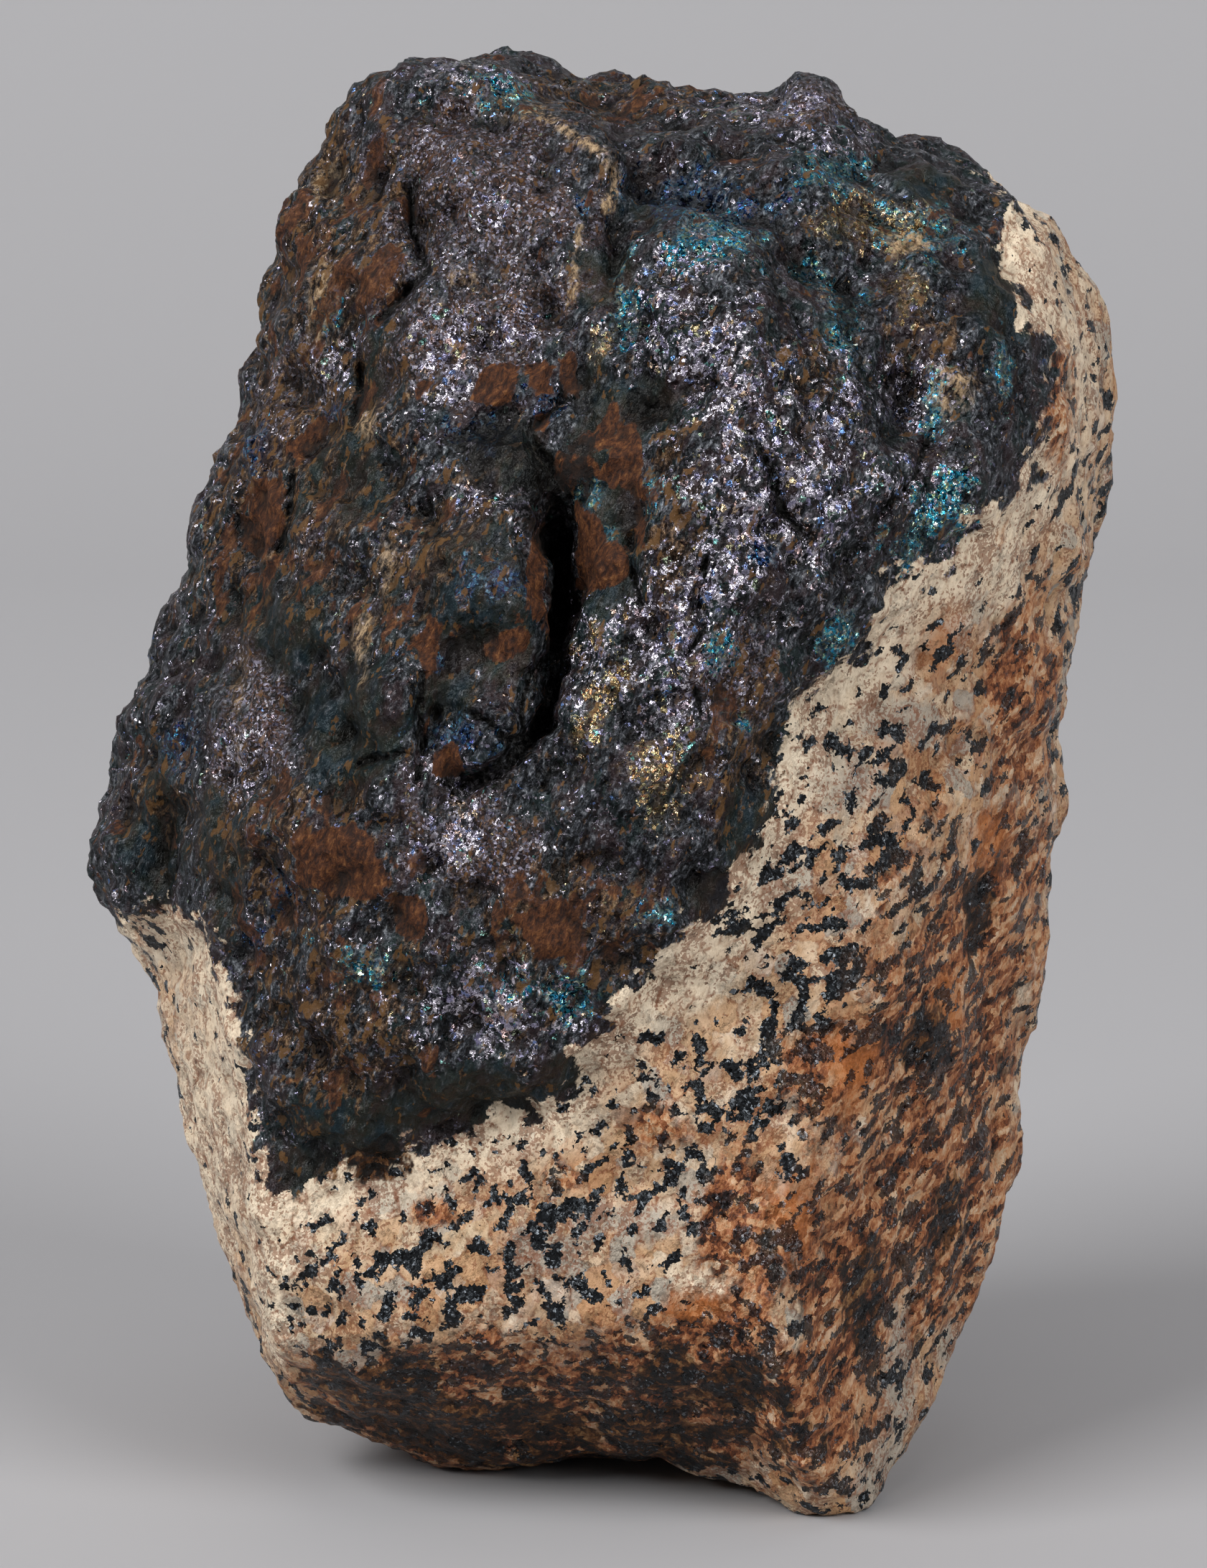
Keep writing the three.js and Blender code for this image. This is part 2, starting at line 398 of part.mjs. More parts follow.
const specimen = new THREE.Group();
specimen.add(stone);
export default specimen;
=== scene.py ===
# %% [markdown]
# # Peacock ore, a broken stone
#
# The object is one hand specimen of bornite ore, sold as peacock ore. Dark ore that tarnishes to
# metallic colours fills its upper front and left. Pale host rock with black and rust-brown grains
# makes up the rest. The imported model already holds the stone's main shape: its lumps, ledges and its
# deep fissure. This lesson takes a copy of that shape, gives it the broken surface of rock, and paints
# both kinds of rock with nodes alone.

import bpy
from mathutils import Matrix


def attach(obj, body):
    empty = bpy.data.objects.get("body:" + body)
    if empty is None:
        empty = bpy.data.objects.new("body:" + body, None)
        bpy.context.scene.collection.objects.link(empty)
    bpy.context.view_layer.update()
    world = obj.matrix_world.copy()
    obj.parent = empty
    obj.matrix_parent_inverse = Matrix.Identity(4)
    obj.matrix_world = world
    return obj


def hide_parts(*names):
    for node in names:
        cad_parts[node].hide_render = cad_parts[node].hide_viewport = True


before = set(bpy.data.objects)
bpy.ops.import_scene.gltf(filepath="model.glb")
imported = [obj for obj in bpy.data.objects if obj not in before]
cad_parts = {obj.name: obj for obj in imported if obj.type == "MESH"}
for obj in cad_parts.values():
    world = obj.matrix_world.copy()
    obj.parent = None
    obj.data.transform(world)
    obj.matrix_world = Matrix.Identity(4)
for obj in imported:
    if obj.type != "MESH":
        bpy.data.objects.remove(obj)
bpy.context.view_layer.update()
print("frame nodes:", sorted(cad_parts))

# %% Modules and units
import math

import bmesh
import bpy
import numpy as np
from mathutils import Vector

MM = 0.001  # Blender's unit here is the metre


def linear(hex_colour):
    """An sRGB hex colour as linear RGBA."""
    channels = [int(hex_colour[i : i + 2], 16) / 255 for i in (1, 3, 5)]
    return [c / 12.92 if c <= 0.04045 else ((c + 0.055) / 1.055) ** 2.4 for c in channels] + [1.0]


def add(tree, kind, *inputs, out=0, stops=(), **settings):
    """Adds a node with its settings, sets or links its inputs, and returns one of its outputs.

    The inputs come in the node's own order, or as one dict by their names or numbers.
    """
    node = tree.nodes.new(kind)
    for name, value in settings.items():
        setattr(node, name, value)
    by_key = inputs[0] if inputs and isinstance(inputs[0], dict) else dict(enumerate(inputs))
    for key, value in by_key.items():
        if isinstance(value, bpy.types.NodeSocket):
            tree.links.new(value, node.inputs[key])
        else:
            node.inputs[key].default_value = value
    if stops:
        ramp = node.color_ramp
        while len(ramp.elements) < len(stops):
            ramp.elements.new(1.0)
        for element, (place, colour) in zip(ramp.elements, stops):
            element.position = place
            element.color = linear(colour)
    return node.outputs[out] if node.outputs else None


print("1 mm is", MM, "of Blender's units")

# %% [markdown]
# ## Where the eye is
#
# The stone was modelled by survey: each point was placed on a line of sight from one eye point in
# front. The camera goes to that same point, so the outline that it sees is the surveyed one. A long
# lens of 130 mm, as for jewellery and minerals, keeps the perspective gentle.

# %% The camera
LOOK_AT = np.array([-0.3, 0.4, 47.6])  # mm, where the line of sight meets the survey's sheet
LOOK_AT_UP = 50.4  # mm, that place's height on the sheet
EYE_DISTANCE = 394.0  # mm
EYE_ELEVATION = math.radians(10)
LENS, FILM_WIDTH = 130, 36  # mm
SEEN_UP_TO = 20  # m

towards_eye = np.array([0.0, -math.cos(EYE_ELEVATION), math.sin(EYE_ELEVATION)])
sheet_up = np.array([0.0, math.sin(EYE_ELEVATION), math.cos(EYE_ELEVATION)])
eye = LOOK_AT + EYE_DISTANCE * towards_eye

camera_data = bpy.data.cameras.new("camera")
camera_data.lens = LENS
camera_data.sensor_width = FILM_WIDTH
camera_data.clip_end = SEEN_UP_TO
camera = bpy.data.objects.new("camera", camera_data)
bpy.context.scene.collection.objects.link(camera)
camera.location = eye * MM
camera.rotation_euler = Vector(towards_eye).to_track_quat("Z", "Y").to_euler()
bpy.context.scene.camera = camera
print("camera at", [round(c, 4) for c in camera.location])

# %% [markdown]
# ## The studio
#
# A small thing is lit on a sweep, a pale sheet that lies under it and curves up behind, so that no
# horizon shows. One large soft light stands at the front left and above, a weaker one fills from the
# right, and a broad dim one hangs overhead. Large lights give broken metal faces their small bright
# glints and keep the shadow under the stone soft.

# %% The sweep
SWEEP_RADIUS = 0.5  # m, of the curve between floor and backdrop
SWEEP_START = 0.45  # m behind the stone
SWEEP_WIDTH = 4.0  # m
SWEEP_FRONT = -2.0  # m
SWEEP_TOP = 2.5  # m
SWEEP_STEPS = 16  # round the curve

profile = [(SWEEP_FRONT, 0.0), (SWEEP_START, 0.0)]
for step in range(1, SWEEP_STEPS + 1):
    turn = step / SWEEP_STEPS * math.pi / 2
    back = SWEEP_START + SWEEP_RADIUS * math.sin(turn)
    profile.append((back, SWEEP_RADIUS * (1 - math.cos(turn))))
profile.append((SWEEP_START + SWEEP_RADIUS, SWEEP_TOP))

sweep_mesh = bpy.data.meshes.new("sweep")
sweep_points = [(x, y, z) for y, z in profile for x in (-SWEEP_WIDTH / 2, SWEEP_WIDTH / 2)]
sweep_faces = [(2 * i, 2 * i + 1, 2 * i + 3, 2 * i + 2) for i in range(len(profile) - 1)]
sweep_mesh.from_pydata(sweep_points, [], sweep_faces)
for face in sweep_mesh.polygons:
    face.use_smooth = True
sweep = bpy.data.objects.new("sweep", sweep_mesh)
bpy.context.scene.collection.objects.link(sweep)

paper = bpy.data.materials.new("matt_paper")
paper.use_nodes = True
paper_surface = paper.node_tree.nodes["Principled BSDF"]
paper_surface.inputs["Base Color"].default_value = linear("#ADACAE")
paper_surface.inputs["Roughness"].default_value = 0.8
sweep_mesh.materials.append(paper)
print("sweep rows:", len(profile))


# %% The lights
STONE_MIDDLE = Vector((0, 0, 0.05))  # m


def softbox(name, azimuth, elevation, distance, size, power):
    """A square white area light that faces the stone. Azimuth 0 is the camera's side, + is right.

    Angles are in degrees, lengths in metres and the power in watts.
    """
    light = bpy.data.lights.new(name, "AREA")
    light.shape = "SQUARE"
    light.size = size
    light.energy = power
    lamp = bpy.data.objects.new(name, light)
    bpy.context.scene.collection.objects.link(lamp)
    a, e = math.radians(azimuth), math.radians(elevation)
    out = Vector((math.sin(a) * math.cos(e), -math.cos(a) * math.cos(e), math.sin(e)))
    lamp.location = STONE_MIDDLE + out * distance
    lamp.rotation_euler = out.to_track_quat("Z", "Y").to_euler()


softbox("key", azimuth=-52, elevation=40, distance=2.4, size=1.3, power=50.0)
softbox("fill", azimuth=44, elevation=32, distance=2.4, size=1.3, power=34.0)
softbox("overhead", azimuth=0, elevation=80, distance=1.8, size=1.0, power=4.0)

world = bpy.data.worlds.new("studio_air")
world.use_nodes = True
air = world.node_tree.nodes["Background"]
air.inputs["Color"].default_value = linear("#D6D8DC")
air.inputs["Strength"].default_value = 0.13
bpy.context.scene.world = world
bpy.context.scene.view_settings.view_transform = "Standard"
print("lights:", len(bpy.data.lights))

# %% [markdown]
# ## How rock breaks
#
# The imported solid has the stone's lumps, its ledges and its deep fissure, but its facets are large.
# Broken rock is made of flat faces of every size, which meet in sharp edges. Noise alone would give soft
# hills. So the surface is made in three steps, and they are done twice: an even net is laid over the
# stone, Geometry Nodes lift it by noise, and the net is thinned. Thinning keeps the edges and flattens
# what lies between them, as a break does. The first round makes faces of about two millimetres, and the
# second adds flakes and grains of less than one.

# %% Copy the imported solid
SAME_POINT = 1e-6  # m, up to which two corners are one point

stone_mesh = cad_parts["stone"].data.copy()
stone_mesh.name = "peacock_ore"
joiner = bmesh.new()
joiner.from_mesh(stone_mesh)
bmesh.ops.remove_doubles(joiner, verts=joiner.verts, dist=SAME_POINT)
joiner.to_mesh(stone_mesh)
joiner.free()
stone_mesh.materials.clear()
stone = bpy.data.objects.new("peacock_ore", stone_mesh)
bpy.context.scene.collection.objects.link(stone)
print("packed solid:", len(stone_mesh.polygons), "facets")


# %% Laying and thinning the net
def settle():
    """Turns what the stone's modifiers make into its own plain mesh."""
    evaluated = stone.evaluated_get(bpy.context.evaluated_depsgraph_get())
    made = bpy.data.meshes.new_from_object(evaluated)
    stone.modifiers.clear()
    stone.data = made


def lay_net(size, smoothing_passes):
    """Covers the stone with an even net of faces, of a size in mm, and smooths it."""
    net = stone.modifiers.new("net", "REMESH")
    net.mode = "VOXEL"
    net.voxel_size = size * MM
    smoothing = stone.modifiers.new("smoothing", "SMOOTH")
    smoothing.factor = 0.5
    smoothing.iterations = smoothing_passes
    settle()
    print(f"net of {size} mm: {len(stone.data.vertices)} points")


def thin(most_triangles):
    """Thins the net to a number of triangles, from where it is flattest."""
    triangles = len(stone.data.loops) - 2 * len(stone.data.polygons)
    thinning = stone.modifiers.new("thinning", "DECIMATE")
    thinning.ratio = min(1.0, most_triangles / triangles)
    settle()
    print(f"thinned from {triangles} to {len(stone.data.polygons)} faces")


def read_points(what):
    """The stone's points as an array: their places ("co", in mm) or directions ("normal")."""
    values = np.empty(len(stone.data.vertices) * 3)
    stone.data.vertices.foreach_get(what, values)
    return values.reshape(-1, 3) / (MM if what == "co" else 1.0)


def store(name, values):
    """Keeps one number for each point of the stone, for its nodes to read."""
    layer = stone.data.attributes.new(name, "FLOAT", "POINT")
    layer.data.foreach_set("value", np.asarray(values, np.float32))
    print(f"{name}: {values.min():.2f} to {values.max():.2f}")


# %% [markdown]
# ## A map of the two rocks
#
# Ore and host rock meet along one wandering line. It is drawn on the survey's sheet as a closed outline
# around the ore, and every point of the stone gets its distance to that line: positive in the ore,
# negative in the host rock. Anything that depends on the contact, such as how rough the break is or a
# clean pale rim, can then be made from one number. Behind the front face the outline draws back up and
# to the left, so that ore covers only the upper left of the stone's back.

# %% The contact between ore and host rock
ORE_OUTLINE = [
    # down the right side, from the top edge
    (21.6, 98), (24.2, 95.6), (27, 93.6), (28.6, 90.8), (27.6, 87.8), (28.5, 85.2), (29.2, 82.5),
    (31.5, 81), (31, 77.8), (30.8, 75), (29.8, 74.2), (30, 72.5), (28.8, 70.5), (27.2, 69.5),
    (25.5, 68.2), (24.5, 65.8), (22.5, 65.5), (20.2, 64.8), (20, 63), (18.2, 61), (17.8, 59.2),
    (16.2, 59), (15.2, 57.8), (13, 56.2), (12.8, 53), (11.8, 51), (10.2, 46.8), (9.8, 45.5),
    (8.5, 45), (9, 43.5), (8.8, 41.5), (7.2, 41), (5.8, 40.8), (4, 39), (3, 36.8),
    (2, 35.8), (0.5, 35), (0.2, 33.5), (-1.2, 32.8), (-2.5, 31.8), (-2.6, 30), (-3.2, 28.5),
    # along the lower lip, up the block's left edge and under the left lump
    (-5.2, 27.8), (-7, 27.4), (-9, 26.4), (-12, 25.4), (-14, 25), (-17, 24.7), (-18.5, 23.6),
    (-19.6, 22.6), (-21, 22), (-23.2, 21.8), (-24, 25), (-24.5, 30), (-25.2, 34), (-26.5, 37.5),
    (-27, 39.8), (-27.5, 40.5), (-28.8, 40.8), (-29.5, 41.5), (-32, 41.8), (-34.5, 40),
    # round the outside
    (-60, 40), (-60, 130), (21.6, 130),
]
DRAW_BACK_FROM = 3.0  # mm of depth, behind which the outline draws back
DRAW_BACK = np.array([0.35, -0.75])  # mm across and up for each mm of depth


def on_sheet(places):
    """The survey's [across, up] of places in mm."""
    sight = places - eye
    reach = -EYE_DISTANCE / (sight @ towards_eye)
    offset = eye + sight * reach[:, None] - LOOK_AT
    return np.stack([offset[:, 0], offset @ sheet_up + LOOK_AT_UP], axis=1)


def line_distance(places, line):
    """Distance from places on the sheet to an open line."""
    nearest = np.full(len(places), np.inf)
    for start, end in zip(line, line[1:]):
        a, b = np.array(start), np.array(end)
        along = np.clip((places - a) @ (b - a) / ((b - a) @ (b - a)), 0, 1)
        nearest = np.minimum(nearest, np.hypot(*(places - a - along[:, None] * (b - a)).T))
    return nearest


def outline_distance(places, outline):
    """Distance from places on the sheet to a closed outline, positive inside it."""
    closed = outline + outline[:1]
    nearest = line_distance(places, closed)
    across, up = places.T
    inside = np.zeros(len(places), bool)
    for (x0, y0), (x1, y1) in zip(closed, closed[1:]):
        crosses = (y0 > up) != (y1 > up)
        rise = y1 - y0 if y1 != y0 else 1.0
        inside ^= crosses & (across < x0 + (x1 - x0) * (up - y0) / rise)
    return np.where(inside, nearest, -nearest)


def depth_in_ore(places):
    """How deep places in mm lie in the ore, and below 0 how far out of it."""
    behind = np.maximum(places[:, 1] - DRAW_BACK_FROM, 0)
    return outline_distance(on_sheet(places) + behind[:, None] * DRAW_BACK, ORE_OUTLINE)


# %% [markdown]
# ## The tree that breaks the surface
#
# The tree lifts each point along its normal by two things. Swells are plain noise. Chips come from the
# distance to the nearest Voronoi point, measured as a sum along three axes: it is lowest in a chip's
# middle and rises in flat slopes to sharp ridges where chips meet, like the scoops of a hammered
# break. The host rock is grainier and breaks more evenly, so it takes a smaller share of the lift.
# Nothing goes below the surface that the stone stands on.

# %% The relief tree and its sizes
BREAK_SIZES = ("Swell size", "Swell height", "Chip size", "Chip height", "Host share")
BREAKS = {
    "large": dict(zip(BREAK_SIZES, (6.5, 3.8, 3.8, 1.2, 0.4))),
    "small": dict(zip(BREAK_SIZES, (1.6, 0.9, 1.1, 0.34, 0.7))),
}  # mm, but for the last

relief = bpy.data.node_groups.new("broken_surface", "GeometryNodeTree")
relief.interface.new_socket("Geometry", in_out="INPUT", socket_type="NodeSocketGeometry")
for name, value in BREAKS["large"].items():
    socket = relief.interface.new_socket(name, in_out="INPUT", socket_type="NodeSocketFloat")
    socket.default_value = value
relief.interface.new_socket("Geometry", in_out="OUTPUT", socket_type="NodeSocketGeometry")

given = relief.nodes.new("NodeGroupInput").outputs
ALL_HOST, ALL_ORE = -0.8, 0.4  # mm of depth in the ore, between which the host's share grows to 1
TURN = (0.5, 0.3, 0.9)  # so that the chips' slopes follow no axis of the stone
LOWEST = (-1.0, -1.0, 0.0)  # m: only the last one, the table's height, is ever reached

position = add(relief, "GeometryNodeInputPosition")
place_mm = add(relief, "ShaderNodeVectorMath", {0: position, "Scale": 1 / MM}, operation="SCALE")

swell_scale = add(relief, "ShaderNodeMath", 1.0, given["Swell size"], operation="DIVIDE")
swell = add(relief, "ShaderNodeTexNoise", {"Vector": place_mm, "Scale": swell_scale, "Detail": 3.0})
swell = add(relief, "ShaderNodeMath", swell, 0.5, operation="SUBTRACT")
swell = add(relief, "ShaderNodeMath", swell, given["Swell height"], operation="MULTIPLY")

turned = {"Vector": place_mm, "Rotation": TURN}
turned = add(relief, "ShaderNodeVectorRotate", turned, rotation_type="EULER_XYZ")
chip_scale = add(relief, "ShaderNodeMath", 1.0, given["Chip size"], operation="DIVIDE")
chip = add(relief, "ShaderNodeTexVoronoi", {"Vector": turned, "Scale": chip_scale}, distance="MANHATTAN")
chip = add(relief, "ShaderNodeMath", chip, 0.5, operation="SUBTRACT")
broken = add(relief, "ShaderNodeMath", chip, given["Chip height"], swell, operation="MULTIPLY_ADD")

kept_depth = add(relief, "GeometryNodeInputNamedAttribute", {"Name": "ore_depth"}, data_type="FLOAT")
share = {"Value": kept_depth, "From Min": ALL_HOST, "From Max": ALL_ORE, "To Min": given["Host share"]}
share = add(relief, "ShaderNodeMapRange", share)
rise = add(relief, "ShaderNodeMath", broken, share, operation="MULTIPLY")
rise = add(relief, "ShaderNodeMath", rise, MM, operation="MULTIPLY")
outward = add(relief, "GeometryNodeInputNormal")
lift = add(relief, "ShaderNodeVectorMath", {0: outward, "Scale": rise}, operation="SCALE")
lifted = add(relief, "ShaderNodeVectorMath", position, lift, operation="ADD")
lifted = add(relief, "ShaderNodeVectorMath", lifted, LOWEST, operation="MAXIMUM")
moved = add(relief, "GeometryNodeSetPosition", {"Geometry": given["Geometry"], "Position": lifted})

ore_and_host = bpy.data.materials.new("tarnished_bornite_in_feldspar_rock")
realized = add(relief, "GeometryNodeRealizeInstances", {"Geometry": moved})
finished = add(relief, "GeometryNodeSetMaterial", {"Geometry": realized, "Material": ore_and_host})
add(relief, "NodeGroupOutput", {"Geometry": finished})
print("relief tree:", len(relief.nodes), "nodes")


def break_surface(sizes):
    """Lifts the stone's net by the relief tree."""
    surface = stone.modifiers.new("surface", "NODES")
    surface.node_group = relief
    for item in relief.interface.items_tree:
        if item.name in sizes:
            surface[item.identifier] = sizes[item.name]
    settle()


# %% [markdown]
# ## First round: faces of two millimetres
#
# Crystals have fallen out of the ore and left pits, and the fissure must stay open while its walls
# are broken. The places are set on the sheet, and the points there sink away from the eye before
# the surface is broken, so that the walls become flat faces too. Two edges between large faces are drawn
# out as ridges in the same way.

# %% The fissure and the pits, as [across, up, half width, half height, depth] in mm
PITS = [
    (-3, 68.4, 1.4, 3.4, 5), (-3.1, 63.6, 1.25, 4, 6), (-3.4, 58.6, 0.8, 3.2, 4),
    (-4.6, 54.4, 0.8, 0.9, 2), (-6.6, 52.6, 1, 0.7, 2), (-9, 50.7, 1.3, 0.6, 1.6),
    (3.9, 76.6, 1.8, 1.3, 1.6), (16.6, 84, 1.2, 2.2, 1.5), (21.2, 76.8, 1.3, 2.6, 1.6),
    (-16.6, 78.3, 0.7, 1.1, 1), (-13.4, 84.4, 1, 1.2, 1.4), (-10.4, 84.6, 1.4, 1.1, 1),
    (-7.2, 80.6, 1.4, 0.8, 0.9), (8.2, 94.4, 1.2, 0.8, 1), (0.9, 88.2, 1, 1.5, 1.4),
    (-7.5, 76.2, 3.6, 1.8, 1.4), (4.4, 91.6, 4, 2.2, 1.6), (-11.4, 55.6, 1.4, 1, 1.2),
    (-12.2, 44.4, 1.1, 1.6, 1.2), (12.6, 83.4, 0.8, 1.6, 0.9), (-8.2, 43, 1.2, 0.7, 0.8),
    (13.4, 66.2, 1, 0.9, 0.8),
]
RIDGES = [
    (3.2, 1.7, [(11.6, 15), (12.4, 12.6), (12.9, 8), (13.7, 3.2)]),
    (2.4, 0.9, [(-24.4, 21), (-24, 14), (-22.4, 9.4)]),
]  # half width and height in mm, and [across, up] along the crest
FRONT_DEPTH = 16.0  # mm behind the middle, past which nothing on the sheet reaches the surface


def sink(places, depth):
    """Moves points away from the eye by depths in mm, where they are on the stone's front."""
    moved = places - towards_eye * (depth * (places[:, 1] < FRONT_DEPTH))[:, None]
    stone.data.vertices.foreach_set("co", (moved * MM).ravel())
    stone.data.update()
    return moved


# %% Break the large faces
LARGE_NET, LARGE_SMOOTHING, LARGE_FACES = 0.6, 4, 11_000  # mm, passes, faces

lay_net(LARGE_NET, LARGE_SMOOTHING)
points = read_points("co")
seen = on_sheet(points)
print("seen from", seen.min(axis=0).round(1), "to", seen.max(axis=0).round(1), "mm")
pit_depth = np.zeros(len(points))
for across, up, half_width, half_height, depth in PITS:
    reach = ((seen[:, 0] - across) / half_width) ** 2 + ((seen[:, 1] - up) / half_height) ** 2
    pit_depth = np.maximum(pit_depth, depth * np.exp(-reach))
ridge = np.zeros(len(points))
for half_width, height, line in RIDGES:
    ridge = np.maximum(ridge, height * np.clip(1 - line_distance(seen, line) / half_width, 0, 1))
points = sink(points, pit_depth - ridge)
store("ore_depth", depth_in_ore(points))
break_surface(BREAKS["large"])
thin(LARGE_FACES)

# %% [markdown]
# ## Second round: flakes and cracks
#
# The finer net is a third of a millimetre wide. On it lie the thin cracks, which are placed as well.
# Every point keeps its distance to the nearest crack, so that the material can paint shade into the
# bottom, which is narrower than the net.

# %% Cracks, as [across, up] in mm
CRACKS = [
    # out of the fissure's top
    [(-2.8, 77.2), (-4.2, 75.8), (-5.2, 75), (-4.9, 74.2), (-3.8, 72.6), (-2.4, 70.6), (-2, 69)],
    # round the loose chip in the fissure
    [(-3.9, 59.2), (-5.2, 58), (-5.8, 55.6), (-5.5, 53.9), (-3.6, 54), (-3.2, 54.6)],
    [(-9.2, 55.3), (-7.8, 54.6), (-6.6, 53.4), (-5.6, 53.8)],
    # from the fissure's foot down to the left, wide enough for two lines
    [(-3.6, 57.4), (-4.4, 55.2), (-6, 53), (-7.6, 51.6), (-9.8, 50.2)],
    [(-3.2, 57), (-4, 54.8), (-5.6, 52.6), (-7.2, 51.2), (-9.6, 49.8)],
    # down the block's lower left
    [(-12.5, 58), (-12.9, 55.4), (-12.6, 52.6), (-13, 50.8)],
    [(-17, 51.8), (-15.6, 52.2), (-14, 52.5)],
    # across the bright lump
    [(7.2, 66), (6.8, 63.6), (7, 61.2), (6, 59.6)],
    [(1.9, 67.6), (2.1, 65.2), (2.7, 62.8)],
    [(6.2, 57.2), (6.9, 55)],
    [(10.2, 74.8), (11.8, 72.2), (12.4, 69.4), (14, 67.8)],
    [(22.6, 74.2), (21.6, 71.6), (19.8, 69.9), (18.8, 68.6)],
    # in the upper left face
    [(-13.5, 92), (-13.3, 89), (-12.2, 86.2), (-13.8, 84.6), (-15.6, 82.6)],
    [(-16.7, 79.2), (-16.9, 77.2), (-17.4, 75.4)],
    [(-21.6, 71.8), (-21.8, 69), (-22.6, 66.6)],
]
CRACK_WIDTH = 0.35  # mm, half the width of the sunk strip
CRACK_DEPTH = 0.7  # mm
FAR_OFF = 9.0  # mm, the distance of points that no line is drawn near

# %% Lay the fine net, break it and crack it
SMALL_NET, SMALL_SMOOTHING, MOST_TRIANGLES = 0.36, 1, 196_000  # mm, passes, faces

lay_net(SMALL_NET, SMALL_SMOOTHING)
store("ore_depth", depth_in_ore(read_points("co")))
break_surface(BREAKS["small"])
points = read_points("co")
seen = on_sheet(points)
in_front = points[:, 1] < FRONT_DEPTH
from_crack = np.full(len(points), FAR_OFF)
for line in CRACKS:
    from_crack = np.where(in_front, np.minimum(from_crack, line_distance(seen, line)), from_crack)
store("from_crack", from_crack)
points = sink(points, CRACK_DEPTH * np.exp(-((from_crack / CRACK_WIDTH) ** 2)))

# %% How far each point lies below its surroundings
HOLLOW_PASSES = 60  # of averaging, which reach about 3 mm


def averaged(places, passes):
    """Places after some passes in which each point moves halfway to the mean of its neighbours."""
    ends = np.empty(len(stone.data.edges) * 2, np.int32)
    stone.data.edges.foreach_get("vertices", ends)
    ends = ends.reshape(-1, 2)
    count = np.bincount(ends.ravel(), minlength=len(places))[:, None]
    for _ in range(passes):
        total = np.zeros_like(places)
        for axis in range(3):
            total[:, axis] = np.bincount(ends[:, 0], places[ends[:, 1], axis], len(places))
            total[:, axis] += np.bincount(ends[:, 1], places[ends[:, 0], axis], len(places))
        places = places / 2 + total / count / 2
    return places


# The material paints shade into hollows from how deep each point lies.
below = (averaged(points, HOLLOW_PASSES) - points) * read_points("normal")
store("hollow", below.sum(axis=1))
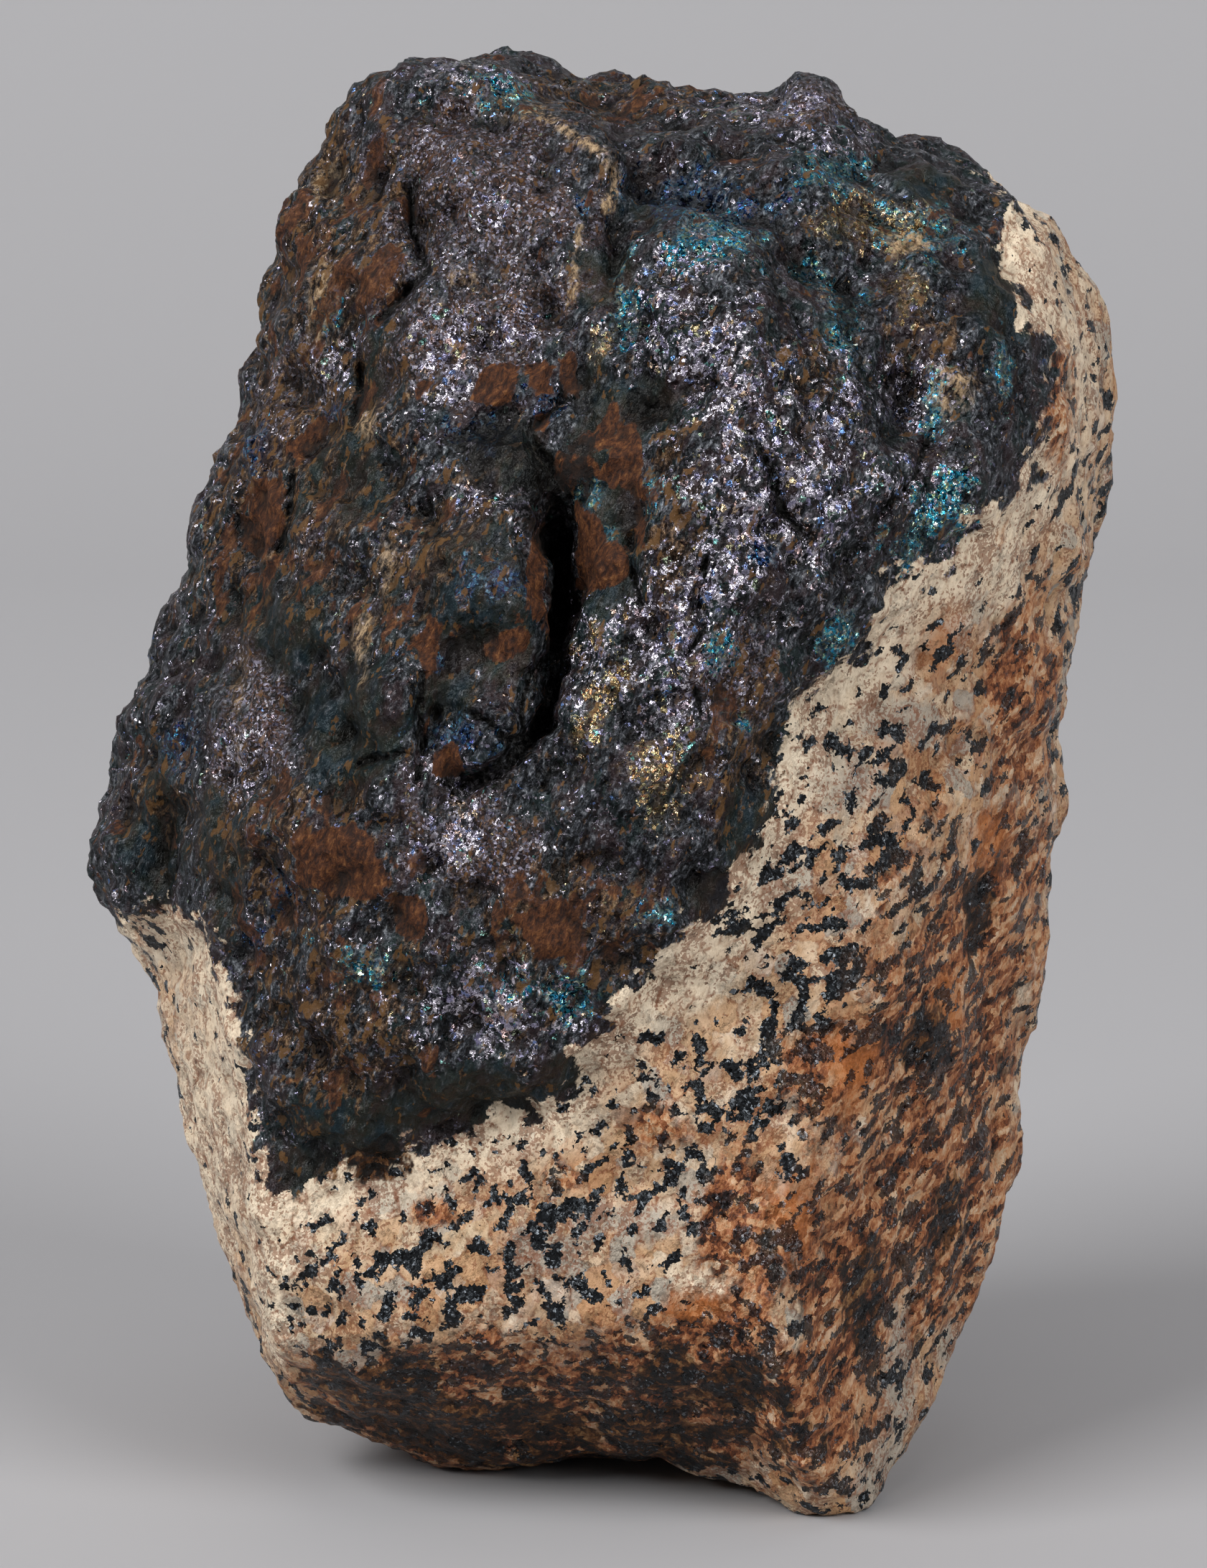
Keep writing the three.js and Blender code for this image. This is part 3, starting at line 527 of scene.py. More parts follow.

# %% [markdown]
# ## Where the ore has its colours
#
# Fresh bornite is a metal-bright bronze. Air turns it violet, blue and green in a film as thin as a
# soap bubble's, and rust and clay settle in patches on old faces. These patches don't follow a rule,
# so each is a soft ellipsoid placed on the stone's surface, where the line of sight through
# its middle meets the stone. The numbers fade from 1 in a patch's middle to 0 at its edge and below 0
# outside, and the material breaks that edge up along the ore's grains. Behind the stone the same kinds
# of patch are placed along lines of sight from the back.
#
# In the ore, "bright" is clean crystals, "teal", "blue" and "gold" are tarnish films, "dusty" and
# "clay" are earth, "dull" is a smooth dark break, which under the lower lip and beside the fissure's
# top also paints the shade there, and "speckled" is a granular brown one whose palest grains are
# painted sparks. In the host rock, "stain" and "orange" are iron, "flecked" has more black grains,
# and "clean" has few of them and no stain; its whitening on the left face and in one spot low on
# the front is painted light. "quartz" takes no stain. One more kind darkens the host rock to deep
# brown along its bottom, its right face and just under the ore's lower lip, and paints shadow into
# the ore's fissure, its pits and the wedge under the block's edge.

# %% Patches, as (across, up, half width, half height) in mm
FRONT_PATCHES = {
    "bright": [
        (4, 82.5, 3.6, 4), (8.5, 79.5, 5, 5), (5, 87, 5, 1.8), (11.8, 70, 7, 6), (10.5, 76, 4, 4),
        (-7.5, 90.4, 1.6, 2), (-8.5, 81.4, 4.6, 1.8), (-7.6, 71.4, 2.4, 4), (-11, 78, 2.6, 2.6),
        (10.5, 97.5, 5, 1.6), (-7, 99.8, 5, 1.6), (8, 64, 3, 4), (16, 76, 3, 5), (-11, 47, 2.4, 3),
        (-8, 35, 7, 3), (4.6, 60, 3, 7), (-25.5, 51, 2.5, 3.5), (-11, 51, 4, 1.4), (24.5, 64, 3, 5),
        (16, 95.5, 3.4, 1.6), (-18.5, 80, 2.2, 2.2), (20.5, 77.5, 4, 3), (23, 71, 4, 2.5),
        (0, 58.6, 2.6, 4.6),
    ],
    "teal": [
        (16, 92.5, 3, 2.4), (18.5, 93.5, 1.6, 1), (22, 88.5, 3.4, 2.6), (16.6, 84, 2, 4.4),
        (23, 76.5, 1.2, 2.4), (24, 69.5, 3, 3.4), (20.5, 67, 3.4, 1.8), (17, 60.5, 2.6, 2),
        (3.4, 70.8, 0.8, 2.4), (-1.2, 70.4, 1, 1.4), (0.6, 67.8, 0.9, 0.9), (8, 88.5, 5, 2.4),
        (14, 86, 2, 1.5), (1.6, 84, 1.4, 4.5), (-7, 98.5, 4, 1.6), (-19, 83, 2.2, 1.6),
        (9.8, 54.4, 1.4, 1), (3.6, 41.4, 1.6, 1.2), (-20.6, 39.6, 1.6, 1.2), (-16, 37.6, 2.6, 1.4),
        (-3, 36, 4, 2), (28, 79.5, 1.4, 2.4), (8, 60, 1.4, 1.8), (19, 47.5, 0.9, 1),
    ],
    "blue": [
        (11, 66.4, 1.6, 1.1), (-7.6, 64.4, 3.4, 1.8), (-11.5, 59, 1.6, 1.4), (-18.6, 76.2, 1.1, 0.9),
        (-22, 43, 2, 1.4), (-10, 54, 3, 1.6), (6, 91, 6.5, 3), (-4, 76.8, 1.8, 1.8),
        (-24.3, 74, 1.2, 2.4), (-29, 53, 2, 2.6), (-8.5, 75, 3, 1.8), (-24, 40, 1.4, 2.4),
    ],
    "gold": [
        (-0.6, 60.6, 2.2, 2.2), (0.2, 57, 1.8, 2.6), (-1.4, 54, 1.4, 1.8), (19.5, 89.5, 4, 2.2),
        (22, 85, 2, 2.4), (0, 81, 1.6, 1.6), (4, 51, 2, 4), (16, 89, 2, 2),
    ],
    "clay": [
        (-15, 65.5, 1, 2.2), (-25.5, 55, 0.7, 3.6), (-19, 92, 2, 1.6), (-19.5, 84, 1.2, 3),
        (-16.5, 75.5, 1.6, 1.2), (-16.8, 60, 0.6, 3), (21.5, 88, 1.8, 0.8), (24.6, 78, 1.6, 2),
        (-9.6, 85.6, 1.4, 0.8),
    ],
    "dusty": [
        (-20, 90, 6, 10), (-22, 71, 8, 11), (-13, 66, 5, 6), (-22, 45, 7, 6), (-19, 34, 6.5, 7.5),
        (-31, 50, 3, 4), (14.5, 78, 2, 3), (23, 81, 2.6, 2.6), (9, 53, 3, 6), (-2, 40, 6, 5),
        (-2, 98, 8, 2), (4.5, 69, 2, 6),
    ],
    # The first line and (-20.5, 23.4) lie under the ore's lower lip, and (-6.4, 73.2) beside the
    # fissure's top: there the dull dark colour is painted shade.
    "dull": [
        (-17, 26.5, 5, 2.6), (-13.5, 27.6, 5, 2.2), (-9, 28.6, 6, 2.2), (-2, 30.6, 3, 2),
        (-6.4, 73.2, 3.6, 2.8), (3.4, 90.2, 2.6, 1.4), (-23, 61, 6, 5), (-26.5, 46, 2, 5),
        (-31, 47, 2.5, 6), (-11, 57, 3, 3), (8, 42.5, 3, 2), (23, 92, 3, 2), (27.5, 84, 2.5, 4),
        (-20.5, 23.4, 3.4, 2.4), (3.4, 77, 3, 1.6), (-18, 55, 5.5, 5.5), (-10, 62, 6, 6),
        (0, 74, 2.6, 6), (0.6, 66, 1.8, 4), (10.5, 47, 2.6, 3), (-17.5, 72, 3, 6), (-15.5, 79, 2.6, 3),
        (0.2, 85.6, 2.2, 2.4),
    ],
    "stain": [
        (25, 33, 7, 12), (24.5, 22, 7, 11), (18, 16, 5.5, 9), (20.5, 32, 5, 7), (-12, 20.5, 1.2, 0.8),
        (-3, 23, 1.4, 1), (4, 26, 2, 1.6), (-12, 4.8, 8, 3), (-4, 4, 8, 2.4), (4, 5, 6, 2.6),
        (28, 43, 4, 6), (13, 7.5, 5, 5), (-5, 7.8, 12, 4.2), (3, 8.5, 11, 4.6), (-16, 7, 5, 2.4),
        (8, 12.5, 4, 2), (29.5, 56, 2.5, 6), (15, 31, 3, 3), (9, 20, 2, 4), (32, 76, 1.5, 5),
        (-31.8, 39.8, 1.2, 0.8),
    ],
    "flecked": [
        (21.5, 17, 2, 3), (18.5, 11, 1.5, 4.5), (17.4, 3.4, 1.6, 2.6), (25.6, 26, 1.2, 5),
        (-11.5, 9.6, 4.4, 1.6), (-1, 8.4, 5, 1.4), (16, 38, 4, 2), (12, 29, 3, 2), (-4, 21, 4, 1.6),
        (-31.5, 39.6, 2.4, 2), (10.4, 40, 2, 3), (-24.4, 27.4, 0.8, 2),
    ],
    "speckled": [
        (-9.5, 91, 6.5, 8), (-7, 83, 5, 4), (-13, 82, 3, 5), (14, 98, 5, 2), (-25, 54, 3, 5),
        (9, 58, 3, 4), (-8, 46, 5, 3), (-21, 78, 4, 3),
    ],
    # In the host rock these darken the bottom, the right face and the rim under the lower lip.
    # In the ore they are painted shadow: the fissure, the pits and the wedge under the block's edge.
    "dark_brown_and_painted_shadow": [
        (-7, 6, 12, 2.6), (2, 5, 9, 2.4), (-16, 8.5, 5, 2.6), (9, 8, 3, 2), (22, 32.5, 1.8, 2.2),
        (26, 42, 1.8, 2), (24, 20, 1.6, 3), (18, 15, 1.4, 4), (-13, 6, 8, 2.4), (5, 9, 5, 1.6),
        (-10, 4.2, 7, 2), (-3, 3.6, 6, 1.6), (-7.4, 74.4, 3.6, 1.8), (-5, 71.6, 2.2, 2.4),
        (-3.6, 68, 1.2, 3), (-5.6, 52.6, 1.2, 1), (-7.8, 51, 1.6, 0.8), (4, 76.4, 1.8, 1.2),
        (16.8, 84, 1, 2), (-16, 24.2, 3, 1.4),
    ],
    "orange": [
        (26.5, 46.5, 3, 2.4), (24, 35, 2.2, 2), (17.5, 31, 2.6, 2.6), (23.5, 60, 2, 2),
        (25.3, 85.2, 0.9, 0.6), (21.6, 84.2, 1, 1.6), (6, 14, 2.5, 1.2), (13, 21, 1.6, 3),
    ],
    "clean": [
        # The first two, on the left face, whiten it as painted light; (7.6, 15.6) is a painted highlight.
        (-27.7, 26, 3.4, 12), (-23.5, 15, 2.6, 7), (28, 66, 2, 5), (29, 83, 2.2, 4), (6, 37, 3, 2.4),
        (7.6, 15.6, 2.4, 2), (29, 52, 2.2, 2),
    ],
    "quartz": [
        (20.5, 8, 1.8, 6), (19, 2.5, 2.6, 2.4), (16, 51.5, 3, 2.6), (20, 55, 3, 2), (11, 44, 2, 2),
        (2, 20, 4, 1.6), (-4, 18, 4, 1.4), (24, 11, 1.4, 3), (-31.6, 39.2, 2.4, 2),
    ],
}
BACK_PATCHES = {
    "bright": [(-14, 88, 6, 5), (-24, 72, 5, 6), (-4, 76, 6, 5), (-18, 58, 5, 4)],
    "teal": [(-8, 93, 4, 2.5), (-22, 80, 3, 3), (4, 84, 3, 3), (-14, 66, 3, 2)],
    "blue": [(-17, 78, 3, 3)],
    "gold": [(-26, 66, 2.5, 3)],
    "clay": [(-5, 86, 3, 4)],
    "dusty": [(-20, 84, 12, 9), (-12, 70, 6, 5), (2, 90, 6, 4)],
    "dull": [(-24, 60, 5, 6)],
    "stain": [(10, 30, 14, 16), (-12, 12, 10, 7), (24, 60, 6, 14)],
    "dark_brown_and_painted_shadow": [(0, 6, 9, 3), (20, 22, 3, 5)],
    "orange": [(4, 46, 4, 3), (-16, 34, 4, 4), (18, 70, 3, 3)],
    "clean": [(0, 70, 12, 6), (-10, 56, 8, 6)],
    "quartz": [(14, 52, 5, 3), (-6, 22, 6, 3)],
    "flecked": [(16, 40, 8, 5), (-8, 40, 6, 4)],
    "speckled": [(-10, 80, 8, 8), (-20, 62, 5, 8)],
}


# %% Find a patch's place on the stone
NO_PATCH = -2.0  # the number of points that are far from every patch
PATCH_REACH = 1.5  # of the larger half size, into the stone


def surface_at(across, up, from_behind):
    """The place in mm where the line of sight through [across, up] meets the stone."""
    target = LOOK_AT + across * np.array([1.0, 0.0, 0.0]) + (up - LOOK_AT_UP) * sheet_up
    start = 2 * target - eye if from_behind else eye
    hit, place, _, _ = stone.ray_cast(Vector(start * MM), Vector(target - start).normalized())
    if not hit:
        raise ValueError(f"the line of sight through {across}, {up} misses the stone")
    return np.array(place) / MM


def patch_field(patches, from_behind):
    """How deep each point of the stone lies in the nearest of some patches: 1 in its middle."""
    field = np.full(len(points), NO_PATCH)
    for across, up, half_width, half_height in patches:
        offset = points - surface_at(across, up, from_behind)
        flat = offset[:, 0] / half_width
        tall = offset @ sheet_up / half_height
        deep = offset @ towards_eye / max(half_width, half_height) / PATCH_REACH
        field = np.maximum(field, 1 - np.sqrt(flat**2 + tall**2 + deep**2))
    return field


# %% Clay lines, as half width and [across, up] in mm
CLAY_LINES = [
    (0.5, [(-7, 96.6), (-4.6, 97.4), (-2.2, 95.6), (0, 94.2), (1, 92.4), (0.4, 90.6)]),
    (0.36, [(-1.7, 89.2), (-1.9, 87), (-2.3, 83.6)]),
]

for kind in FRONT_PATCHES:
    field = patch_field(FRONT_PATCHES[kind], False)
    if kind == "clay":
        for half_width, line in CLAY_LINES:
            band = np.where(in_front, 1 - line_distance(seen, line) / half_width, NO_PATCH)
            field = np.maximum(field, band)
    store(kind, np.maximum(field, patch_field(BACK_PATCHES[kind], True)))

# %% [markdown]
# ## Smooth brown faces
#
# Some faces of the ore are old joints, flat and coated with brown iron oxide. Their edges are sharp
# where the coated face ends at a break, so these are drawn as outlines rather than soft patches.

# %% Rusty faces, as outlines in mm on the sheet
RUSTY_FACES = [
    # the round one at the lower left
    [(-21.8, 46.8), (-20, 47.4), (-17.2, 47.6), (-15.6, 46), (-14.8, 43.8), (-14.9, 42),
     (-17, 42.4), (-19.5, 42.6), (-21.8, 43.4)],
    [(-14.6, 42.4), (-13.2, 42.8), (-11.9, 40.8), (-12.8, 39.8), (-14.4, 40.2)],
    # above the fissure
    [(-9, 78.6), (-8, 79.6), (-6.3, 79.4), (-6, 78), (-7, 76.6), (-9.8, 76.8)],
    [(-5.2, 79.4), (-4, 79.8), (-3.8, 77.6), (-4.9, 77)],
    [(-3.2, 80.4), (-1.8, 80.2), (-1.6, 77), (-2.8, 77.4)],
    [(-4.8, 76.2), (-3.6, 76), (-3.9, 74.8), (-4.9, 75)],
    # right of the fissure
    [(-0.3, 71.8), (0.6, 73.2), (1.2, 75.2), (2.1, 75.5), (2.8, 73), (2.9, 69), (2.6, 66.8),
     (2, 70), (1.2, 71.2)],
    [(-2, 70.2), (-0.5, 69.2), (0.2, 67), (1.4, 66.8), (1.7, 65), (0.4, 64.2), (-1.9, 63.7)],
    [(-3.4, 74), (-2, 73.1), (-0.8, 73), (-0.6, 72.2), (-2, 71.6), (-2.6, 70.6), (-3.4, 72)],
    [(-0.6, 75), (0.8, 77), (1.4, 76.4), (0.4, 74.4), (-0.4, 73.8)],
    # the fissure's left wall
    [(-5.4, 66.8), (-4.2, 69), (-4, 64), (-3.6, 60.6), (-4.4, 61), (-5.4, 64.4)],
    # further left and below
    [(-13.6, 60.6), (-12, 62.6), (-10.8, 61.4), (-11.6, 58), (-12.4, 57.2)],
    [(-8.6, 60), (-6.4, 61.2), (-4.8, 60.8), (-6.4, 59.2), (-8.4, 59)],
    [(-12, 52.4), (-10.4, 53.2), (-9.6, 51.4), (-10.6, 50.6), (-12.2, 51)],
    [(-24.4, 71.6), (-22.6, 72), (-22.4, 68), (-24, 66), (-25.4, 67.4)],
    [(-22, 73.8), (-19.6, 75.6), (-19.2, 74.8), (-21.2, 72.8)],
    [(-6, 41), (-2.8, 42.4), (-1, 41), (-1.4, 38.4), (-4.4, 38)],
    [(-13.2, 78.2), (-12, 78.6), (-12.2, 76.8), (-13.2, 77)],
]

rusty = np.full(len(points), -FAR_OFF)
for outline in RUSTY_FACES:
    rusty = np.maximum(rusty, outline_distance(seen, outline))
store("rusty", np.where(in_front, rusty, -FAR_OFF))

# %% Thin the net to its final size
SHARP_FROM = 32  # degrees between faces, from which the edge looks sharp

thin(MOST_TRIANGLES)
stone.data.shade_smooth()
stone.data.set_sharp_from_angle(angle=math.radians(SHARP_FROM))

# %% [markdown]
# ## The finish
#
# One material holds both rocks, because they grew into each other and their edge is as fine as a
# grain. Everything in it is worked out from the place on the stone and from the numbers that its points
# keep, so no picture is needed. The unit of the rock is the crystal: a Voronoi texture gives each one
# its own random numbers, which set its colour and how it is tilted. Noise of several sizes mottles
# what lies between.

# %% Places and wavering edges
ore_and_host.use_nodes = True
rock = ore_and_host.node_tree
surface_shader = rock.nodes["Principled BSDF"]
surface_shader.inputs["Specular IOR Level"].default_value = 0.3  # duller than polished

MEAN_COLOUR = (0.5, 0.5, 0.5)  # of random colours, taken off where one is used as a direction
WAVER_SIZE, WAVER_REACH = 0.5, 0.55  # mm: crystal edges waver by this much

in_metres = add(rock, "ShaderNodeTexCoord", out="Object")
place = add(rock, "ShaderNodeVectorMath", {0: in_metres, "Scale": 1 / MM}, operation="SCALE")
waver = {"Vector": place, "Scale": 1 / WAVER_SIZE, "Detail": 2.0, "Roughness": 0.7}
waver = add(rock, "ShaderNodeTexNoise", waver, out="Color")
waver = add(rock, "ShaderNodeVectorMath", waver, MEAN_COLOUR, operation="SUBTRACT")
waver = add(rock, "ShaderNodeVectorMath", {0: waver, "Scale": WAVER_REACH}, operation="SCALE")
wavering = add(rock, "ShaderNodeVectorMath", place, waver, operation="ADD")
print("crystal edges waver by", WAVER_REACH, "mm")

# %% Crystals
CRYSTAL_SIZES = {"coarse": 1.7, "medium": 0.42, "fine": 0.17}  # mm

crystal, chance = {}, {}
for name, size in CRYSTAL_SIZES.items():
    crystal[name] = add(rock, "ShaderNodeTexVoronoi", {"Vector": wavering, "Scale": 1 / size}, out="Color")
    chance[name] = add(rock, "ShaderNodeSeparateColor", crystal[name]).node.outputs
print("crystals of", list(CRYSTAL_SIZES.values()), "mm")


# %% Mottling and fibres
def drawn_out(places, way, share):
    """Places squeezed along a way by a share, so that a pattern read there is drawn out along it."""
    along = add(rock, "ShaderNodeVectorMath", places, way, out="Value", operation="DOT_PRODUCT")
    along = add(rock, "ShaderNodeMath", along, -share, operation="MULTIPLY")
    squeeze = add(rock, "ShaderNodeVectorMath", {0: way, "Scale": along}, operation="SCALE")
    return add(rock, "ShaderNodeVectorMath", places, squeeze, operation="ADD")


SMEAR, SMEAR_SHARE = (0.35, 0.0, 0.94), 0.5  # the way that rust, dust and fibres are drawn out
MOTTLE_SIZES = {"broad": (9.0, 2.0), "middling": (2.4, 4.0), "small": (0.8, 2.0)}  # mm, and detail
FIBRE_SIZE = 0.4  # mm

smeared = drawn_out(place, SMEAR, SMEAR_SHARE)
mottle = {}
for name, (size, detail) in MOTTLE_SIZES.items():
    noise = {"Vector": smeared, "Scale": 1 / size, "Detail": detail, "Roughness": 0.62}
    colour = add(rock, "ShaderNodeTexNoise", noise, out="Color")
    mottle[name] = add(rock, "ShaderNodeSeparateColor", colour).node.outputs
fibres = {"Vector": smeared, "Scale": 1 / FIBRE_SIZE, "Detail": 3.0, "Roughness": 0.75, "Distortion": 0.3}
fibres = add(rock, "ShaderNodeTexNoise", fibres)
print("mottling of", [size for size, detail in MOTTLE_SIZES.values()], "mm, fibres of", FIBRE_SIZE, "mm")


# %% Patches with broken edges
def shifted(field, *shares):
    """A field with shares of other fields added, each given as (other field, share)."""
    for other, share in shares:
        field = add(rock, "ShaderNodeMath", other, share, field, operation="MULTIPLY_ADD")
    return field


def strayed(field, noise, reach):
    """A field moved by a noise's departure from its mean, times a reach."""
    departure = add(rock, "ShaderNodeMath", noise, 0.5, operation="SUBTRACT")
    return shifted(field, (departure, reach))


def patch(name, start, end, channel, broad_reach=1.2, reach=2.4):
    """The share of a kind of patch: its kept number, wandering with the mottling, eased to 0..1."""
    field = add(rock, "ShaderNodeAttribute", out="Fac", attribute_name=name)
    for size, much in (("broad", broad_reach), ("middling", reach), ("small", reach / 3)):
        field = strayed(field, mottle[size][channel], much)
    ends = {"Value": field, "From Min": start, "From Max": end}
    return add(rock, "ShaderNodeMapRange", ends, interpolation_type="SMOOTHSTEP")


dusty = patch("dusty", -0.5, 0.5, 1)
# Dull, dark breaks, and painted shade under the lower lip and beside the fissure's top.
dull_and_painted_shade = patch("dull", -0.2, 0.4, 1)
ore_depth = add(rock, "ShaderNodeAttribute", out="Fac", attribute_name="ore_depth")
by_host = add(rock, "ShaderNodeMapRange", {"Value": ore_depth, "From Min": 4.0, "From Max": 0.5})
print("first patches:", len(rock.nodes), "nodes")

# %% [markdown]
# ### Bornite ore
#
# Massive bornite breaks unevenly, into crystal faces a few tenths of a millimetre across. Most are
# tarnished nearly black, and some are still clean metal with a pale violet glint. To the eye this is a
# slate-grey stone full of sparks, with teal, blue and gold where the tarnish film has the right
# thickness. A clean crystal is a small dark mirror. It is tilted by chance, so it shows white when a
# light lies in it, and black when none does.
#
# The colours are laid over each other like paint. Each layer is a share, from 0 to 1, and a colour or a
# ramp of colours. The bottom layer is slate. Over it come green and purple tinges, smooth dark slabs,
# which under the lower lip also paint the shade there, the brown and violet speckle of a granular break,
# whose palest grains are painted sparks, and dust.


# %% Dull ore: slate, and brown where dust clings
def past(field, threshold, start, end, most):
    """How far a field is past a threshold, eased from 0 at a start to the most at an end."""
    over = add(rock, "ShaderNodeMath", field, threshold, operation="SUBTRACT")
    ends = {"Value": over, "From Min": start, "From Max": end, "To Max": most}
    return add(rock, "ShaderNodeMapRange", ends)


slate = add(
    rock, "ShaderNodeValToRGB", fibres,
    stops=[(0.36, "#060709"), (0.45, "#15171A"), (0.52, "#2B2E33"), (0.59, "#4C4F55"), (0.68, "#84878C")],
)
earth = add(
    rock, "ShaderNodeValToRGB", fibres,
    stops=[(0.36, "#0E0906"), (0.46, "#2A1D14"), (0.54, "#4E3A28"), (0.62, "#76593C"), (0.72, "#A08660")],
)
dust_from = shifted(0.64, (dull_and_painted_shade, 0.07), (by_host, 0.06), (dusty, -0.17))
dust = past(mottle["small"][1], dust_from, start=-0.03, end=0.05, most=0.85)
greenish = {"Value": mottle["middling"][1], "From Min": 0.53, "From Max": 0.6, "To Max": 0.4}
greenish = add(rock, "ShaderNodeMapRange", greenish)
purplish = {"Value": mottle["middling"][2], "From Min": 0.5, "From Max": 0.58, "To Max": 0.55}
purplish = add(rock, "ShaderNodeMapRange", purplish)
print("dull ore:", len(rock.nodes), "nodes")

# %% Smooth slabs, which also paint shade under the lower lip, and speckled faces with painted sparks
slab_and_painted_shade = add(rock, "ShaderNodeMath", dull_and_painted_shade, 0.75, operation="MULTIPLY")
slab_and_shade_colour = add(
    rock, "ShaderNodeValToRGB", mottle["middling"][2],
    stops=[(0.38, "#14272E"), (0.45, "#1A2320"), (0.52, "#23241A"), (0.6, "#2A2118"), (0.68, "#17191C")],
)
speckled = patch("speckled", -0.3, 0.5, 2)
speckled = add(rock, "ShaderNodeMath", speckled, 0.75, operation="MULTIPLY")
# Painted sparks: the palest fine crystals of a speckled face are near white under any light.
speckle_and_painted_sparks = add(
    rock, "ShaderNodeValToRGB", chance["fine"][1],
    stops=[(0.0, "#0C0A0B"), (0.28, "#2B2120"), (0.48, "#483630"), (0.64, "#624430"), (0.78, "#5E5A66"),
           (0.92, "#9E98AC"), (1.0, "#E4E0EA")],
)
ore_layers = [
    (greenish, linear("#17302E")),
    (purplish, linear("#38282A")),
    (slab_and_painted_shade, slab_and_shade_colour),
    (speckled, speckle_and_painted_sparks),
    (dust, earth),
]
print("layers over slate:", len(ore_layers))


# %% Clean crystals
def lay(base, layers):
    """Lays layers over a base colour from the bottom up, each given as (share, colour)."""
    for share, above in layers:
        base = add(rock, "ShaderNodeMix", {0: share, 6: base, 7: above}, out=2, data_type="RGBA")
    return base


DULL_PART, CLEAN_PART = 0.3, 0.9  # the part of crystals that shine, outside and inside bright patches
SHINE_EASE = 0.12  # between a dull crystal's random number and a fully clean one's

bright = patch("bright", -0.3, 0.6, 0, reach=3.6)
clumps = add(rock, "ShaderNodeMapRange", {"Value": mottle["small"][0], "From Min": 0.34, "From Max": 0.52})
clean_part = add(rock, "ShaderNodeMath", bright, clumps, operation="MULTIPLY")
clean_part = shifted(DULL_PART, (clean_part, CLEAN_PART - DULL_PART))
not_dull = shifted(1.0, (dull_and_painted_shade, -0.85))
clean_part = add(rock, "ShaderNodeMath", clean_part, not_dull, operation="MULTIPLY")
shine_from = add(rock, "ShaderNodeMath", 1.0, clean_part, operation="SUBTRACT")
shine_full = add(rock, "ShaderNodeMath", shine_from, SHINE_EASE, operation="ADD")
spark = {}
for size in ("fine", "medium"):
    ends = {"Value": chance[size][0], "From Min": shine_from, "From Max": shine_full}
    spark[size] = add(rock, "ShaderNodeMapRange", ends)
glint = add(rock, "ShaderNodeMath", spark["fine"], spark["medium"], operation="MULTIPLY")
glint_colour = add(
    rock, "ShaderNodeValToRGB", chance["medium"][1],
    stops=[(0.0, "#6C98D8"), (0.06, "#9C98BC"), (0.35, "#C8C2CE"), (0.6, "#EAE4EE"), (0.8, "#B8B0C6"),
           (0.88, "#D8B6B0"), (0.94, "#D2C08E"), (1.0, "#7CCCC8")],
)
dimmed = add(rock, "ShaderNodeMath", chance["fine"][1], 0.8, operation="MULTIPLY")
glint_colour = lay(glint_colour, [(dimmed, linear("#3A3842"))])
print("clean crystals:", len(rock.nodes), "nodes")

# %% [markdown]
# Each tarnish film has its own ramp, as a film's colour changes with its thickness from crystal to
# crystal. Some filmed crystals are mirrors of that colour, and all of them tinge the dull ore between.

# %% Tarnish films
TARNISH = {
    "teal": [(0.0, "#0B2A38"), (0.2, "#1A647C"), (0.4, "#36A4BC"), (0.55, "#2F7CB4"), (0.7, "#86CCD0"),
             (0.85, "#8C9C68"), (1.0, "#D8DEDC")],
    "blue": [(0.0, "#12151F"), (0.4, "#1F3050"), (0.65, "#2F5C90"), (0.8, "#3C3668"), (0.9, "#4C9CC0"),
             (1.0, "#9CC0E0")],
    "gold": [(0.0, "#2E2418"), (0.25, "#6A5232"), (0.5, "#A88C60"), (0.7, "#8A8E70"), (0.85, "#94603C"),
             (1.0, "#E4D8BC")],
}
TINGE = 0.16  # the share of film over dull ore

for channel, (kind, stops) in enumerate(TARNISH.items()):
    film = add(rock, "ShaderNodeValToRGB", chance["fine"][2], stops=stops)
    spread = patch(kind, 0.0, 0.8, channel, reach=4.0)
    limit = shifted(1.0, (spread, -0.6))
    filmed = add(rock, "ShaderNodeMath", chance["medium"][channel], limit, operation="GREATER_THAN")
    mirror = {"Value": chance["fine"][channel], "From Min": 0.35, "From Max": 0.5}
    mirror = add(rock, "ShaderNodeMapRange", mirror)
    for share in (filmed, not_dull):
        mirror = add(rock, "ShaderNodeMath", mirror, share, operation="MULTIPLY")
    glint = add(rock, "ShaderNodeMath", glint, mirror, operation="MAXIMUM")
    tinged = add(rock, "ShaderNodeMath", spread, filmed, operation="ADD")
    tinged = add(rock, "ShaderNodeMath", tinged, TINGE, operation="MULTIPLY")
    ore_layers.append((tinged, film))
    glint_colour = lay(glint_colour, [(filmed, film)])
ore_layers.append((glint, glint_colour))
print("tarnish films:", list(TARNISH))

# %% Clay in the creases
clay = patch("clay", -0.2, 0.9, 2, broad_reach=0.6, reach=3.4)
clay_fibres = add(rock, "ShaderNodeMapRange", {"Value": fibres, "From Min": 0.38, "From Max": 0.56})
clay = add(rock, "ShaderNodeMath", clay, clay_fibres, operation="MULTIPLY")
clay_colour = add(
    rock, "ShaderNodeValToRGB", fibres,
    stops=[(0.36, "#463628"), (0.48, "#7E684E"), (0.6, "#A88E6E"), (0.72, "#C4AC8C")],
)
print("clay:", len(rock.nodes), "nodes")

# %% Rust and ochre
RUST_EASE = 0.02  # how far past its threshold the mottling is when rust is full

